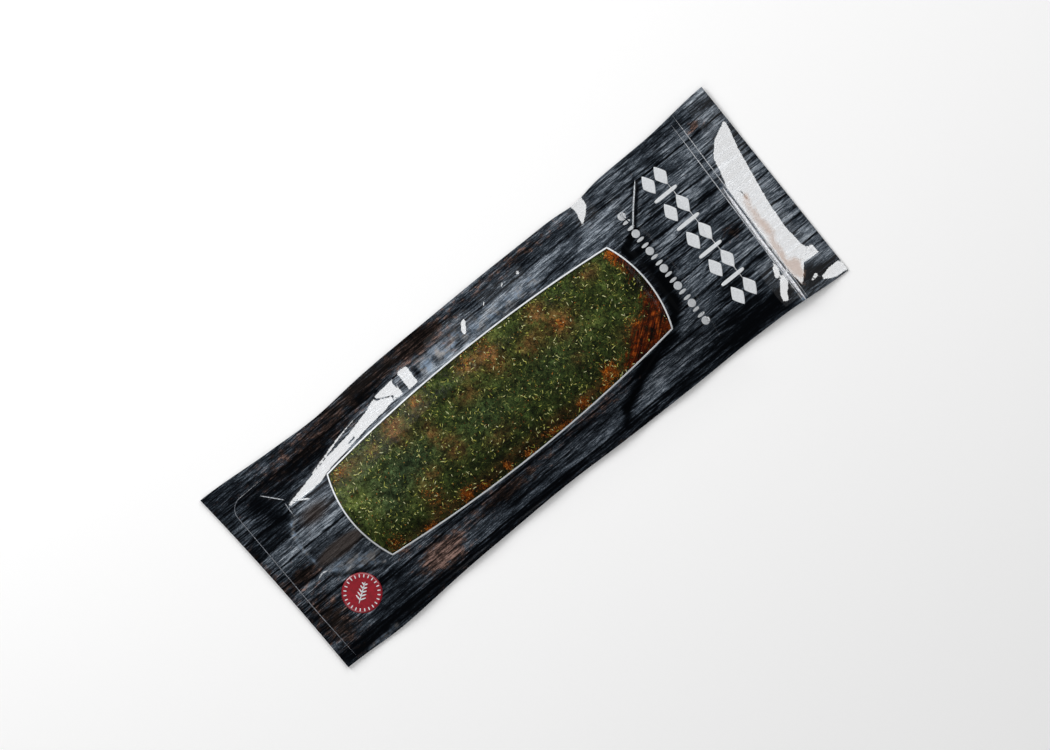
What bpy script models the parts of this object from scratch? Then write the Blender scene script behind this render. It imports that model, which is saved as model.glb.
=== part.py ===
"""Gravlax in its vacuum pouch: a dill-crusted salmon fillet in a printed film pouch with a clear window.

Metres, +Z up. X runs along the pouch, from the tail end of the fillet to its cut end, and Y across it.
The origin is the middle of the pouch's footprint, on the surface that it lies on.
"""

import math
import random

import bmesh
import bpy
import numpy as np
from mathutils import Matrix, Vector

# The pouch as a flat bag
POUCH_LENGTH = 0.390
TAIL_END_WIDTH = 0.1335
CUT_END_WIDTH = 0.1408
TAIL_EDGE_LEAN = 0.0064
TAIL_EDGE_BOW = 0.0014
CUT_EDGE_LEAN = 0.0006
HEM_DRAW = 0.0030
HEM_DRAW_RAMP = 0.26
# Where the vacuum has drawn a long edge in: (place along the pouch from -1 to 1, depth, spread)
FAR_DRAWS = ((-0.57, 0.0025, 0.15), (0.35, 0.0008, 0.16), (0.47, 0.0022, 0.065))
NEAR_DRAWS = ((-0.80, -0.0043, 0.26), (-0.09, 0.0012, 0.18), (0.60, 0.0005, 0.10))

# The film: its wall here is thicker than the real 0.12 mm, so that it is a solid
FILM = 0.0005
FIT_GAP = 0.0003
HEM_NEAR_FISH = 0.0034
HEM_FAR_OUT = 0.0016
HEM_DROOP = 0.016
HEM_WAVE = 0.0005
HEM_WAVE_LENGTH = 0.052
HEM_WAVE_SHIFT = 1.3
FLAP_START = 0.118
FLAP_RIDGE = 0.163
FLAP_LIFT = 0.0032
FLAP_DROP = 0.07

# The fillet, as the line where the film leaves the hem to climb over it
TAIL_FOOT = -0.168
CUT_FOOT = 0.113
FOOT_HALF_WIDTH = 0.0515
FOOT_MIDDLE = -0.0005
TAPER_START = -0.045
TAPER = 0.57
TAPER_POWER = 1.6
TAIL_SIDE_SHIFT = 0.0075
CUT_BOW = 0.005
TAIL_BOW = 0.010

# How steeply the film climbs, as rise over run, and how high the fillet stands
TAIL_SIDE_SLOPE = 0.50
CUT_SIDE_SLOPE = 0.88
TAIL_END_SLOPE = 0.62
CUT_END_SLOPE = 1.20
TAIL_HEIGHT = 0.0085
CUT_HEIGHT = 0.0170
THICKENING = 0.7
CROWN = 0.0050
SHOULDER_POWER = 8.0
FOOT_SOFTNESS = 0.0005
BELLY_RISE = 0.0060

# The clear window, a barrel shape with four corners
WINDOW_MIDDLE = -0.0178
WINDOW_HALF_LENGTH = 0.1075
WINDOW_HALF_WIDTH = 0.0311
WINDOW_SIDE_BULGE = 0.0064
WINDOW_END_BULGE = 0.0062
WINDOW_FLOOR = 0.0036
WINDOW_CEILING = 0.0400
ARC_STEPS = 12

# The herb crust on the fillet
CRUST = 0.0010
CRUST_SLOPE = 0.35
DILL_COUNT = 92
DILL_LENGTH = (0.0030, 0.0052)
DILL_WIDTH = 0.00085
DILL_THICKNESS = 0.0011
SEED_COUNT = 26
SEED_SIZE = (0.0013, 0.0020)
SEED_THICKNESS = 0.0013
SUNK = 0.48
DRAWS_A_GRAIN = 12
SLOPE_STEP = 0.001
WINDOW_RIM = 0.002
LEAST_CRUST = 0.0009
CRUST_SEED = 11

# The lattice that every layer shares, in cells: over the fillet, and out to each edge of the pouch
CELLS_ALONG = 32
CELLS_ACROSS = 14
TAIL_HEM_CELLS = 3
CUT_FLAP_CELLS = 9
SIDE_HEM_CELLS = 3
CROWDING_ALONG = 0.6
CROWDING_ACROSS = 0.3
# How far from the middle, as a share of the way to its foot, the cavity and the fillet reach
CAVITY_REACH_ALONG = 0.991
CAVITY_REACH_ACROSS = 0.975
FILLET_REACH_ALONG = 0.980
FILLET_REACH_ACROSS = 0.930


def soft_least(power, *values):
    """The least of the values: where all are above 0, the corner between two of them is rounded off."""
    least = np.minimum.reduce(values)
    above = [np.maximum(value, 1e-9) for value in values]
    rounded = sum(value**-power for value in above) ** (-1.0 / power)
    return np.where(least > 0.0, rounded, least)


def smooth_step(share):
    """0 below 0, 1 above 1, and an S between them."""
    held = np.clip(share, 0.0, 1.0)
    return held * held * (3.0 - 2.0 * held)


def long_edge(x, side):
    """The y of the pouch's far edge (side 1) or near edge (side -1) at x, drawn in by the vacuum."""
    s = 2.0 * x / POUCH_LENGTH
    half_width = 0.5 * (TAIL_END_WIDTH + (CUT_END_WIDTH - TAIL_END_WIDTH) * (s + 1.0) / 2.0)
    ends = smooth_step((1.0 + s) / HEM_DRAW_RAMP) * smooth_step((1.0 - s) / HEM_DRAW_RAMP)
    draws = FAR_DRAWS if side > 0 else NEAR_DRAWS
    dips = sum(depth * np.exp(-(((s - place) / spread) ** 2)) for place, depth, spread in draws)
    return side * (half_width - ends * (HEM_DRAW + dips))


def end_edge(y, end):
    """The x of the cut end (end 1) or tail end (end -1) at y: both lean, and the tail end bows in."""
    lean = CUT_EDGE_LEAN if end > 0 else TAIL_EDGE_LEAN
    bow = TAIL_EDGE_BOW * (1.0 - (2.0 * y / CUT_END_WIDTH) ** 2) * (end < 0)
    return end * (POUCH_LENGTH / 2.0 - lean * (0.5 - y / CUT_END_WIDTH)) + bow


def fillet_middle(x):
    """The fillet's middle line and half width at x: the tail narrows and leans to the far side."""
    tail = np.clip((TAPER_START - x) / (TAPER_START - TAIL_FOOT), 0.0, 1.2) ** TAPER_POWER
    return FOOT_MIDDLE + TAIL_SIDE_SHIFT * tail, FOOT_HALF_WIDTH * (1.0 - TAPER * tail)


def rise(x, y):
    """How high the upper film stands over the hem: four sloping walls and a crowned top, softly joined."""
    middle, half = fillet_middle(x)
    across = np.abs(y - middle) / half
    along = np.clip((x - TAIL_FOOT) / (CUT_FOOT - TAIL_FOOT), 0.0, 1.0)
    side = (half - np.abs(y - middle)) * (TAIL_SIDE_SLOPE + (CUT_SIDE_SLOPE - TAIL_SIDE_SLOPE) * along)
    cut = (CUT_FOOT - CUT_BOW * across**2 - x) * CUT_END_SLOPE
    tail = (x - TAIL_FOOT - TAIL_BOW * across**2) * TAIL_END_SLOPE
    crown = CROWN * (1.0 - np.minimum(across, 1.0) ** 2)
    top = TAIL_HEIGHT + (CUT_HEIGHT - TAIL_HEIGHT) * along**THICKENING + crown
    return soft_least(SHOULDER_POWER, side, cut, tail, top)


def climb(x, y):
    """The rise with nothing below the hem, and a small round at its foot."""
    return FOOT_SOFTNESS * np.logaddexp(0.0, rise(x, y) / FOOT_SOFTNESS)


def hem_height(x, y):
    """The height of the sealed film's middle: it droops, waves, and has a ridge at the flap."""
    outside = np.maximum(-rise(x, y), 0.0)
    droop = HEM_FAR_OUT + (HEM_NEAR_FISH - HEM_FAR_OUT) * np.exp(-outside / HEM_DROOP)
    phase = 2.0 * math.pi * x / HEM_WAVE_LENGTH + HEM_WAVE_SHIFT * np.sign(y)
    wave = HEM_WAVE * np.sin(phase) * (2.0 * y / CUT_END_WIDTH) ** 2
    ridge = FLAP_LIFT * smooth_step((x - FLAP_START) / (FLAP_RIDGE - FLAP_START))
    return droop + wave + ridge - FLAP_DROP * np.maximum(x - FLAP_RIDGE, 0.0)


def upper_face(x, y):
    return hem_height(x, y) + FILM + climb(x, y)


def lower_face(x, y):
    """The film's underside: flat under the fillet, and rising to the hem round it."""
    flat = smooth_step(climb(x, y) / BELLY_RISE)
    return (hem_height(x, y) - FILM) * (1.0 - flat)


def crust_room(x, y):
    """How far the fillet stays below the film for its herbs: all of it on top, and none down the walls."""
    above_foot = climb(x, y) / TAIL_HEIGHT
    return CRUST * smooth_step((above_foot - CRUST_SLOPE) / (1.0 - CRUST_SLOPE))


def graded(count, crowding, reach_lines):
    """Lattice lines from -1 to 1, closer together near the ends, with the layers' own edge lines added."""
    k = np.arange(count + 1) / count
    even, crowded = 2.0 * k - 1.0, -np.cos(math.pi * k)
    lines = (1.0 - crowding) * even + crowding * crowded
    return np.sort(np.concatenate([lines, reach_lines, -np.array(reach_lines)]))


def lattice_lines():
    """The lines along and across: 1 is the fillet's foot and 2 the pouch's edge, on either side of 0."""
    along = graded(CELLS_ALONG, CROWDING_ALONG, [CAVITY_REACH_ALONG, FILLET_REACH_ALONG])
    across = graded(CELLS_ACROSS, CROWDING_ACROSS, [CAVITY_REACH_ACROSS, FILLET_REACH_ACROSS])
    tail_hem = np.linspace(-2.0, -1.0, TAIL_HEM_CELLS + 1)[:-1]
    cut_flap = np.linspace(1.0, 2.0, CUT_FLAP_CELLS + 1)[1:]
    side_hem = np.linspace(1.0, 2.0, SIDE_HEM_CELLS + 1)[1:]
    return np.concatenate([tail_hem, along, cut_flap]), np.concatenate([-side_hem[::-1], across, side_hem])


def plan_point(a, b):
    """The footprint's point on lattice lines a along and b across."""
    inner_a, inner_b = np.clip(a, -1.0, 1.0), np.clip(b, -1.0, 1.0)
    tail, cut = TAIL_FOOT + TAIL_BOW * inner_b**2, CUT_FOOT - CUT_BOW * inner_b**2
    x = tail + (cut - tail) * (inner_a + 1.0) / 2.0
    y_at_the_end = b / 2.0 * CUT_END_WIDTH / 2.0
    x += (end_edge(y_at_the_end, math.copysign(1.0, a)) - x) * max(abs(a) - 1.0, 0.0)
    middle, half = fillet_middle(x)
    y = middle + half * inner_b
    y += (long_edge(x, math.copysign(1.0, b)) - y) * max(abs(b) - 1.0, 0.0)
    return x, y


def new_object(name, mesh, collection):
    obj = bpy.data.objects.new(name, mesh)
    collection.objects.link(obj)
    return obj


def finished_mesh(name, bm):
    """The bmesh as a mesh with its faces pointing outwards."""
    bmesh.ops.recalc_face_normals(bm, faces=bm.faces[:])
    mesh = bpy.data.meshes.new(name)
    bm.to_mesh(mesh)
    bm.free()
    return mesh


def layer_mesh(name, reach_along, reach_across, upper, lower):
    """A closed layer over the lattice out to its reach: a grid, thickened, with both faces at their heights.

    The grid's cells are split before it is thickened, so that the layers' facets run alongside each other.
    """
    along, across = lattice_lines()
    along = along[np.abs(along) <= reach_along + 1e-9]
    across = across[np.abs(across) <= reach_across + 1e-9]
    bm = bmesh.new()
    columns, rows = len(along) - 1, len(across) - 1
    bmesh.ops.create_grid(bm, x_segments=columns, y_segments=rows, size=1.0)
    bmesh.ops.triangulate(bm, faces=bm.faces[:], quad_method="FIXED")
    under = set(bm.verts)
    bmesh.ops.extrude_face_region(bm, geom=bm.faces[:])
    for vert in bm.verts:
        column = round((vert.co.x + 1.0) / 2.0 * columns)
        row = round((vert.co.y + 1.0) / 2.0 * rows)
        x, y = plan_point(float(along[column]), float(across[row]))
        face = lower if vert in under else upper
        vert.co = Vector((x, y, float(face(x, y))))
    return finished_mesh(name, bm)


def bag_mesh():
    return layer_mesh("bag", 2.0, 2.0, upper_face, lower_face)


def cavity_mesh():
    """The pouch's inside: the bag less one film above and one below."""
    return layer_mesh(
        "cavity",
        CAVITY_REACH_ALONG,
        CAVITY_REACH_ACROSS,
        lambda x, y: upper_face(x, y) - FILM,
        lambda x, y: lower_face(x, y) + FILM,
    )


def fillet_top(x, y):
    return upper_face(x, y) - FILM - FIT_GAP - crust_room(x, y)


def fillet_mesh():
    """The fillet without its herbs: it fills the cavity with a small gap all round."""
    return layer_mesh(
        "fillet",
        FILLET_REACH_ALONG,
        FILLET_REACH_ACROSS,
        fillet_top,
        lambda x, y: lower_face(x, y) + FILM + FIT_GAP,
    )


def arc(start, end, bulge):
    """Points along a circular arc from start up to end, whose middle stands out by bulge to the right."""
    start, end = Vector(start), Vector(end)
    chord = end - start
    radius = (chord.length**2 / 4.0 + bulge**2) / (2.0 * bulge)
    outward = Vector((chord.y, -chord.x)).normalized()
    centre = (start + end) / 2.0 + outward * (bulge - radius)
    half_angle = math.asin(chord.length / 2.0 / radius)
    middle = math.atan2(outward.y, outward.x)
    steps = [middle + half_angle * (2.0 * k / ARC_STEPS - 1.0) for k in range(ARC_STEPS)]
    return [centre + radius * Vector((math.cos(a), math.sin(a))) for a in steps]


def window_outline(shrink):
    """The window's outline, anticlockwise, drawn in by shrink."""
    a, b = WINDOW_HALF_LENGTH - shrink, WINDOW_HALF_WIDTH - shrink
    corners = [(-a, -b), (a, -b), (a, b), (-a, b)]
    bulges = [WINDOW_SIDE_BULGE, WINDOW_END_BULGE] * 2
    points = []
    for start, end, bulge in zip(corners, corners[1:] + corners[:1], bulges):
        points += arc(start, end, bulge)
    return [point + Vector((WINDOW_MIDDLE, 0.0)) for point in points]


def window_prism(name, shrink, collection):
    """A tall prism on the window's outline, which cuts the opening or keeps the pane."""
    bm = bmesh.new()
    floor = [bm.verts.new((p.x, p.y, WINDOW_FLOOR)) for p in window_outline(shrink)]
    bm.faces.new(floor)
    raised = bmesh.ops.extrude_face_region(bm, geom=bm.faces[:])["geom"]
    lifted = [item for item in raised if isinstance(item, bmesh.types.BMVert)]
    bmesh.ops.translate(bm, verts=lifted, vec=(0.0, 0.0, WINDOW_CEILING - WINDOW_FLOOR))
    return helper(new_object(name, finished_mesh(name, bm), collection))


def helper(obj):
    obj.hide_render = True
    obj.display_type = "WIRE"
    return obj


def add_boolean(obj, operation, cutter):
    boolean = obj.modifiers.new(operation.lower() + " " + cutter.name, "BOOLEAN")
    boolean.operation = operation
    boolean.object = cutter


def material(name, colour, roughness, alpha=1.0, transmission=0.0):
    made = bpy.data.materials.new(name)
    made.use_nodes = True
    shader = made.node_tree.nodes["Principled BSDF"]
    shader.inputs["Base Color"].default_value = (*colour, 1.0)
    shader.inputs["Roughness"].default_value = roughness
    shader.inputs["Metallic"].default_value = 0.0
    shader.inputs["Alpha"].default_value = alpha
    shader.inputs["Transmission Weight"].default_value = transmission
    return made


def shade(obj, finish):
    obj.data.materials.clear()
    obj.data.materials.append(finish)
    obj.data.shade_smooth()


def crust_places(count, rng):
    """Places inside the window on the fillet's top: each new one is the one of a few draws with most room."""
    places = []
    while len(places) < count:
        best, room = None, -1.0
        for _ in range(DRAWS_A_GRAIN):
            x = WINDOW_MIDDLE + rng.uniform(-1.0, 1.0) * (WINDOW_HALF_LENGTH - WINDOW_RIM)
            y = rng.uniform(-1.0, 1.0) * (WINDOW_HALF_WIDTH - WINDOW_RIM)
            nearest = min((math.hypot(x - p, y - q) for p, q in places), default=1.0)
            if nearest > room and crust_room(x, y) > LEAST_CRUST:
                best, room = (x, y), nearest
        if best is not None:
            places.append(best)
    return places


def lie_of_the_top(x, y):
    """The fillet's upward normal at x, y, and the turn that lays a flat thing on it there."""
    slope_x = (fillet_top(x + SLOPE_STEP, y) - fillet_top(x - SLOPE_STEP, y)) / (2.0 * SLOPE_STEP)
    slope_y = (fillet_top(x, y + SLOPE_STEP) - fillet_top(x, y - SLOPE_STEP)) / (2.0 * SLOPE_STEP)
    normal = Vector((-slope_x, -slope_y, 1.0)).normalized()
    return normal, Vector((0.0, 0.0, 1.0)).rotation_difference(normal)


def crumb(name, place, size, turn, collection):
    """A faceted grain of the given length, width and height, about half sunk in the fillet's top."""
    x, y = place
    bpy.ops.mesh.primitive_ico_sphere_add(subdivisions=1, radius=0.5)
    grain = bpy.context.object
    grain.name = name
    normal, lie = lie_of_the_top(x, y)
    centre = Vector((x, y, float(fillet_top(x, y)))) + normal * size[2] * (0.5 - SUNK)
    sized = Matrix.Rotation(turn, 4, "Z") @ Matrix.Diagonal((*size, 1.0))
    grain.data.transform(Matrix.Translation(centre) @ lie.to_matrix().to_4x4() @ sized)
    for owner in grain.users_collection:
        owner.objects.unlink(grain)
    collection.objects.link(grain)
    return grain


def add_crust(fillet, collection):
    """Dill and seeds joined to the fillet by one union, which is applied before the grains are removed."""
    rng = random.Random(CRUST_SEED)
    grains = []
    for k, place in enumerate(crust_places(DILL_COUNT, rng)):
        size = (rng.uniform(*DILL_LENGTH), DILL_WIDTH, DILL_THICKNESS)
        grains.append(crumb(f"dill {k}", place, size, rng.uniform(0.0, math.pi), collection))
    for k, place in enumerate(crust_places(SEED_COUNT, rng)):
        across = rng.uniform(*SEED_SIZE)
        grains.append(crumb(f"seed {k}", place, (across, across, SEED_THICKNESS), 0.0, collection))
    union = fillet.modifiers.new("crust", "BOOLEAN")
    union.operation = "UNION"
    union.operand_type = "COLLECTION"
    union.collection = collection
    graph = bpy.context.evaluated_depsgraph_get()
    joined = bpy.data.meshes.new_from_object(fillet.evaluated_get(graph))
    fillet.modifiers.clear()
    fillet.data = joined
    for grain in grains:
        bpy.data.objects.remove(grain)


def build():
    for obj in list(bpy.data.objects):
        bpy.data.objects.remove(obj)
    pack = bpy.data.collections.new("gravlax pack")
    cutters = bpy.data.collections.new("cutters")
    crumbs = bpy.data.collections.new("crumbs")
    for collection in (pack, cutters, crumbs):
        bpy.context.scene.collection.children.link(collection)

    bag = bag_mesh()
    cavity = helper(new_object("cavity", cavity_mesh(), cutters))
    opening = window_prism("opening", 0.0, cutters)
    pane_keeper = window_prism("pane keeper", FIT_GAP, cutters)

    pouch = new_object("pouch", bag, pack)
    add_boolean(pouch, "DIFFERENCE", cavity)
    add_boolean(pouch, "DIFFERENCE", opening)
    shade(pouch, material("printed film", (0.030, 0.036, 0.044), 0.35))

    window = new_object("window", bag.copy(), pack)
    add_boolean(window, "DIFFERENCE", cavity)
    add_boolean(window, "INTERSECT", pane_keeper)
    shade(window, material("clear film", (0.90, 0.93, 0.92), 0.12, alpha=0.3, transmission=0.9))

    fillet = new_object("fillet", fillet_mesh(), pack)
    add_crust(fillet, crumbs)
    shade(fillet, material("herb crust", (0.085, 0.095, 0.030), 0.55))


build()
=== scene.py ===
"""Gravlax in its vacuum pouch: printed and clear film, dill crust on cured salmon, seals and prints.

The frame's solids give the sizes. Single values are in metres and tables in millimetres, with X along the
pouch from the fillet's tail to its cut end, Y across it and Z up from the surface that it lies on.
"""

import math

import bpy
import numpy as np
from bpy.props import FloatProperty, FloatVectorProperty, IntProperty, PointerProperty
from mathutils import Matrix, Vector


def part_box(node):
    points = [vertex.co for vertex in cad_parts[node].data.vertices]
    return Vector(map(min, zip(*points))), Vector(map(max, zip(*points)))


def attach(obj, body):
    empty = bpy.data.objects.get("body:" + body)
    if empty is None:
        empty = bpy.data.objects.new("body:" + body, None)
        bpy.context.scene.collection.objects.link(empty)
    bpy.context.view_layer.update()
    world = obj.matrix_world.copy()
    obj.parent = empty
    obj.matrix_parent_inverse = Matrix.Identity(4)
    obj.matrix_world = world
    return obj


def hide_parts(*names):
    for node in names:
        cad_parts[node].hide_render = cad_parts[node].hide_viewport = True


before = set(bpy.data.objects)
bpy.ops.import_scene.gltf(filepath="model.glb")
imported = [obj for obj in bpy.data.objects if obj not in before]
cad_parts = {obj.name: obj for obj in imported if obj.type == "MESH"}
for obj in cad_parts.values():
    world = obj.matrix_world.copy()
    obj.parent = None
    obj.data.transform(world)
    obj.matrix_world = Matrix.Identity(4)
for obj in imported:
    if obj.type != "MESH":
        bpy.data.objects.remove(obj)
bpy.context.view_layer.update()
POUCH_LOW, POUCH_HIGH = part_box("pouch")

bl_info = {
    "name": "Gravlax Pouch",
    "version": (1, 0, 0),
    "blender": (4, 5, 0),
    "location": "View3D > Sidebar > Gravlax",
    "description": "Dresses a packed gravlax with printed film, herb crust, seals and a studio",
    "category": "Object",
}

MM = 0.001


def in_metres(table, kept=0):
    """A table in millimetres as rows in metres; its last columns, as many as kept says, stay as they are."""
    rows = np.array(table, dtype=float)
    rows[:, : rows.shape[1] - kept] *= MM
    return rows


def outlines(*shapes):
    """Outlines given by their corners in millimetres, as arrays in metres."""
    return [MM * np.array(corners) for corners in shapes]


# The pouch's footprint: the frame's box, with the tail end narrower and the long edges drawn in
POUCH_LENGTH = POUCH_HIGH[0] - POUCH_LOW[0]
CUT_END_WIDTH = POUCH_HIGH[1] - POUCH_LOW[1]
TAIL_END_WIDTH = 0.1335
TAIL_EDGE_LEAN = 0.0064
TAIL_EDGE_BOW = 0.0014
CUT_EDGE_LEAN = 0.0006
HEM_DRAW = 0.0030
HEM_DRAW_RAMP = 0.26
# Where the vacuum has drawn a long edge in: (place along the pouch from -1 to 1, depth, spread)
FAR_DRAWS = ((-0.57, 0.0025, 0.15), (0.35, 0.0008, 0.16), (0.47, 0.0022, 0.065))
NEAR_DRAWS = ((-0.80, -0.0043, 0.26), (-0.09, 0.0012, 0.18), (0.60, 0.0005, 0.10))

# The hem round the fillet, and the flap past it
HALF_HEM = 0.0005
HEM_FOLD_DEPTH = 0.0004
HEM_NEAR_FISH = 0.0034
HEM_FAR_OUT = 0.0016
HEM_DROOP = 0.016
HEM_WAVE = 0.0005
HEM_WAVE_LENGTH = 0.052
HEM_WAVE_SHIFT = 1.3
FLAP_START = 0.118
FLAP_RIDGE = 0.163
FLAP_LIFT = 0.0032

# The fillet under the film, as the line of its foot and the slopes that climb from there
TAIL_FOOT = -0.168
CUT_FOOT = 0.113
FOOT_HALF_WIDTH = 0.0515
FOOT_MIDDLE = -0.0005
TAPER_START = -0.045
TAPER = 0.57
TAPER_POWER = 1.6
TAIL_SIDE_SHIFT = 0.0075
CUT_BOW = 0.005
TAIL_BOW = 0.010
TAIL_SIDE_SLOPE = 0.50
CUT_SIDE_SLOPE = 0.88
TAIL_END_SLOPE = 0.62
CUT_END_SLOPE = 1.20
TAIL_HEIGHT = 0.0085
CUT_HEIGHT = 0.0170
THICKENING = 0.7
CROWN = 0.0050
SHOULDER_POWER = 8.0
FOOT_SOFTNESS = 0.0005
BELLY_RISE = 0.0060

# The window's barrel outline: four corners joined by arcs
WINDOW_MIDDLE = -0.0178
WINDOW_HALF_LENGTH = 0.1075
WINDOW_HALF_WIDTH = 0.0311
WINDOW_SIDE_BULGE = 0.0064
WINDOW_END_BULGE = 0.0062

# The flap's slope past its ridge, how far that goes, how it rounds, the slope after, and the ridge's (y, x)
FLAP_SLOPE = 0.17
FLAP_FALL = 0.0235
FLAP_ROUNDING = 10.0
FLAP_REST = 0.02
RIDGE_LINE = ((-0.072, 0.163), (0.008, 0.163), (0.048, 0.178), (0.072, 0.181))

# The share of a fold's height that is left at its ends
FOLD_ENDS = 0.35

# Folds drawn in the film: x and y from, x and y to, height, half width
FOLDS = in_metres((
    (130, 52.5, 108.5, 29.3, 1.1, 1.3), (108.5, 29.3, 96, 19, -0.7, 3), (90, -32.5, 50, -47, -0.8, 2.6),
    (50, -48.5, 34, -60, -0.7, 2), (-164.3, -13.9, -145.1, -25.9, 0.8, 2),
    (-145.1, -25.9, -130.7, -31.9, 0.6, 1.8), (-165.5, 46.7, -154.7, 34.7, 0.7, 1.2),
    (-156.5, 33.5, -156.5, 26.3, 0.6, 1.2), (143, 46, 142.3, -40, 0.4, 1.6),
    (-160, -62.2, 150, -61, -0.5, 1.2), (-160, -64, 150, -63, 0.4, 1.2),
))

# Lamps: name, target, angle round from X and angle up in degrees, distance, size, power
LAMPS = (
    ("shoulder softbox", (-0.100, 0.045, 0.0), 102.0, 38.0, 1.25, (0.34, 0.90), 10.0),
    ("flap softbox", (0.175, -0.005, 0.0), -6.0, 70.7, 2.0, (0.70, 0.36), 8.0),
    ("right fill", (0.0, 0.0, 0.0), 40.0, 42.0, 2.2, (1.6, 1.6), 21.0),
    ("left fill", (0.0, 0.0, 0.0), 205.0, 40.0, 2.2, (1.6, 1.6), 13.0),
)
CAMERA_PLACE = (0.0040, 0.0027, 3.5)

# Small glints, where the gloss faces so that it shows a lamp: x, y, reach along X and Y, the lamp's row
GLINTS = in_metres((
    (92.5, 59, 9, 16, 1), (-51.8, 45.8, 5.2, 11, 0), (-15, 49, 18, 9, 0), (26, 53, 20, 5, 1),
    (159, -50, 10, 17, 1), (186, -65.5, 14, 9, 1),
), kept=1)

# Outlines of the gloss as the camera sees it
GLOSS = outlines(
    (
        (-156, 31.2), (-136, 35.8), (-119, 39.2), (-101, 41.5), (-85, 45.3), (-75, 49), (-70, 51.2),
        (-59.2, 52), (-59.7, 39.8), (-68, 40.4), (-76, 38.8), (-88, 37.8), (-106, 35), (-119, 33.2),
        (-125, 32), (-130, 30.2), (-138, 29.6), (-148, 29.8), (-156, 30.3),
    ),
    ((-133, 36.2), (-101, 44.8), (-73, 50.6), (-73, 51.6), (-101, 45.9), (-133, 37)),
    ((-55.2, 39.5), (-48.4, 39.8), (-48, 52), (-55, 52.2)),
    ((-8.9, 44.2), (-7.1, 44.8), (-3.5, 50.2), (-3.5, 52), (-5.9, 51.6), (-8.9, 47.2)),
    ((10.5, 50.4), (11.6, 50.4), (13.1, 53.3), (12.2, 53.4)),
    ((25.8, 52.8), (27, 52.6), (28.3, 54.3), (27.2, 54.6)),
    ((37.8, 52.8), (39.8, 52), (40.4, 54.8), (39.2, 54.6)),
    ((88.1, 69), (97.8, 69), (96.7, 59), (92.9, 54.7), (86.9, 50.3), (89.1, 58.5)),
    (
        (193.3, 46.6), (180.7, 40.6), (173.5, 32.2), (171.7, 23.8), (168.4, 13), (167.5, -3.8),
        (166.3, -27.8), (165.7, -44.6), (167.5, -60.2), (176.5, -50), (188.2, -50.8), (187.6, -40.7),
        (186.6, -44.6), (184.3, -44.4), (182.2, -40.8), (181.3, -26), (182.5, -9.8), (185.5, 8.2),
        (188.5, 26.2), (191.5, 38.2),
    ),
    ((162, -38), (162.7, -43.4), (159, -48), (156.9, -46.8), (159, -42.2)),
    (
        (165, -46.8), (162.7, -52.4), (157.3, -57.8), (154.9, -61.6), (152.1, -61.2), (153.1, -56.6),
        (156.7, -51.2), (160.3, -48.2),
    ),
    ((173, -60.8), (176.5, -59.4), (178.8, -59.6), (178, -61.4), (174.5, -62.1)),
    ((179.5, -63.2), (186.5, -61.8), (194.2, -62.2), (194.8, -69.6), (185.5, -68.8), (179.5, -65.2)),
)

# Creases that break the gloss: x and y from, x and y to, half width
GLOSS_CUTS = in_metres((
    (-75.2, 50, -74.4, 47.2, 0.7), (-74.4, 47.2, -65.4, 43, 0.4), (-65.4, 43, -66.8, 40.4, 0.4),
    (-104, 37.2, -99, 38, 0.5), (170, 12, 174.2, 6, 0.3), (174.2, 6, 173.8, 1, 0.3),
))

# Strokes of painted shade along folds and creases, below 0 darker, and strokes of painted sheen on the print:
# x and y from, x and y to, half width, amount
FOLD_SHADE_STROKES = in_metres((
    (128.5, 50, 111, 30.2, 0.7, -0.5), (110, 29, 96.8, 23.2, 1.7, -0.9), (96.8, 22.6, 97.2, 17.6, 1.2, -0.7),
    (97.5, 16.6, 109.5, 17, 1.3, -0.85), (103, 10, 105.5, -6, 5.8, -0.4), (105, -6, 101, -18, 5, -0.6),
    (101, -19, 93, -28.5, 2.8, -0.6), (88, -34.2, 66, -39, 3.4, -0.62), (66, -39, 38.5, -52, 2.9, -0.6),
    (38.5, -52, 32.5, -59.5, 2, -0.4), (48.7, -40.2, 70, -37, 1.4, -0.3), (130, 54.5, 123, 46.5, 1.8, -0.26),
    (-160, -61.6, 150, -60, 0.8, -0.36), (-120, -65, 130, -64.5, 1.4, -0.14), (-166, 30, -160, 25, 2, -0.18),
    (-160, -19.2, -133, -33.4, 1.4, -0.24), (-170, 42, -164, 30, 6, -0.22),
), kept=1)
# Painted sheen: pale bluish veils that stand for reflections on the film, with a few dark spots below 0 in
# them
PAINTED_SHEEN_STROKES = in_metres((
    (-157.1, 23.8, -160.8, 21.2, 1.3, 0.34), (-161.2, 20.8, -163.8, 15.8, 1.1, 0.4),
    (-164.1, 15, -165.5, 7, 1, 0.44), (-165.5, 7, -164, -6, 0.9, 0.5),
    (-164, -13.5, -131.2, -31.2, 0.6, 0.42), (-154, -16, -135, -25, 4.2, 0.34),
    (-170, -66.2, -150, -65.5, 1, 0.2), (-44, 45, -16, 45, 5.6, 0.32), (-45.6, 43.6, -45.4, 47, 1.8, -0.7),
    (-16.5, 42.2, -13, 42.8, 2.4, -0.5), (-32.5, 42, -31.5, 45, 2.2, -0.4),
    (-26.5, 44, -28.5, 46.2, 1.8, 0.36), (-35, 46.2, -32.2, 47, 2.2, 0.34),
    (-18.8, 45.2, -18.2, 47, 2.6, 0.34), (-39.2, 44, -38.5, 41.8, 1.5, 0.26), (-14, 44.5, 42, 43.2, 4.4, 0.3),
    (162.8, -68, 164.8, -19, 1.6, 0.5), (164.8, -19, 166.8, 20, 1.1, 0.45),
), kept=1)


def srgb(red, green, blue):
    """A colour given as 0 to 255 on a screen, as the linear values that shaders take."""
    shares = [value / 255.0 for value in (red, green, blue)]
    return tuple(s / 12.92 if s <= 0.04045 else ((s + 0.055) / 1.055) ** 2.4 for s in shares)


def colour_property(name, description, colour):
    return FloatVectorProperty(
        name=name, description=description, subtype="COLOR", size=3, min=0.0, max=1.0, default=srgb(*colour)
    )


def length_property(name, description, default):
    return FloatProperty(
        name=name, description=description, default=default, min=0.0, unit="LENGTH", precision=5
    )


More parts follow.
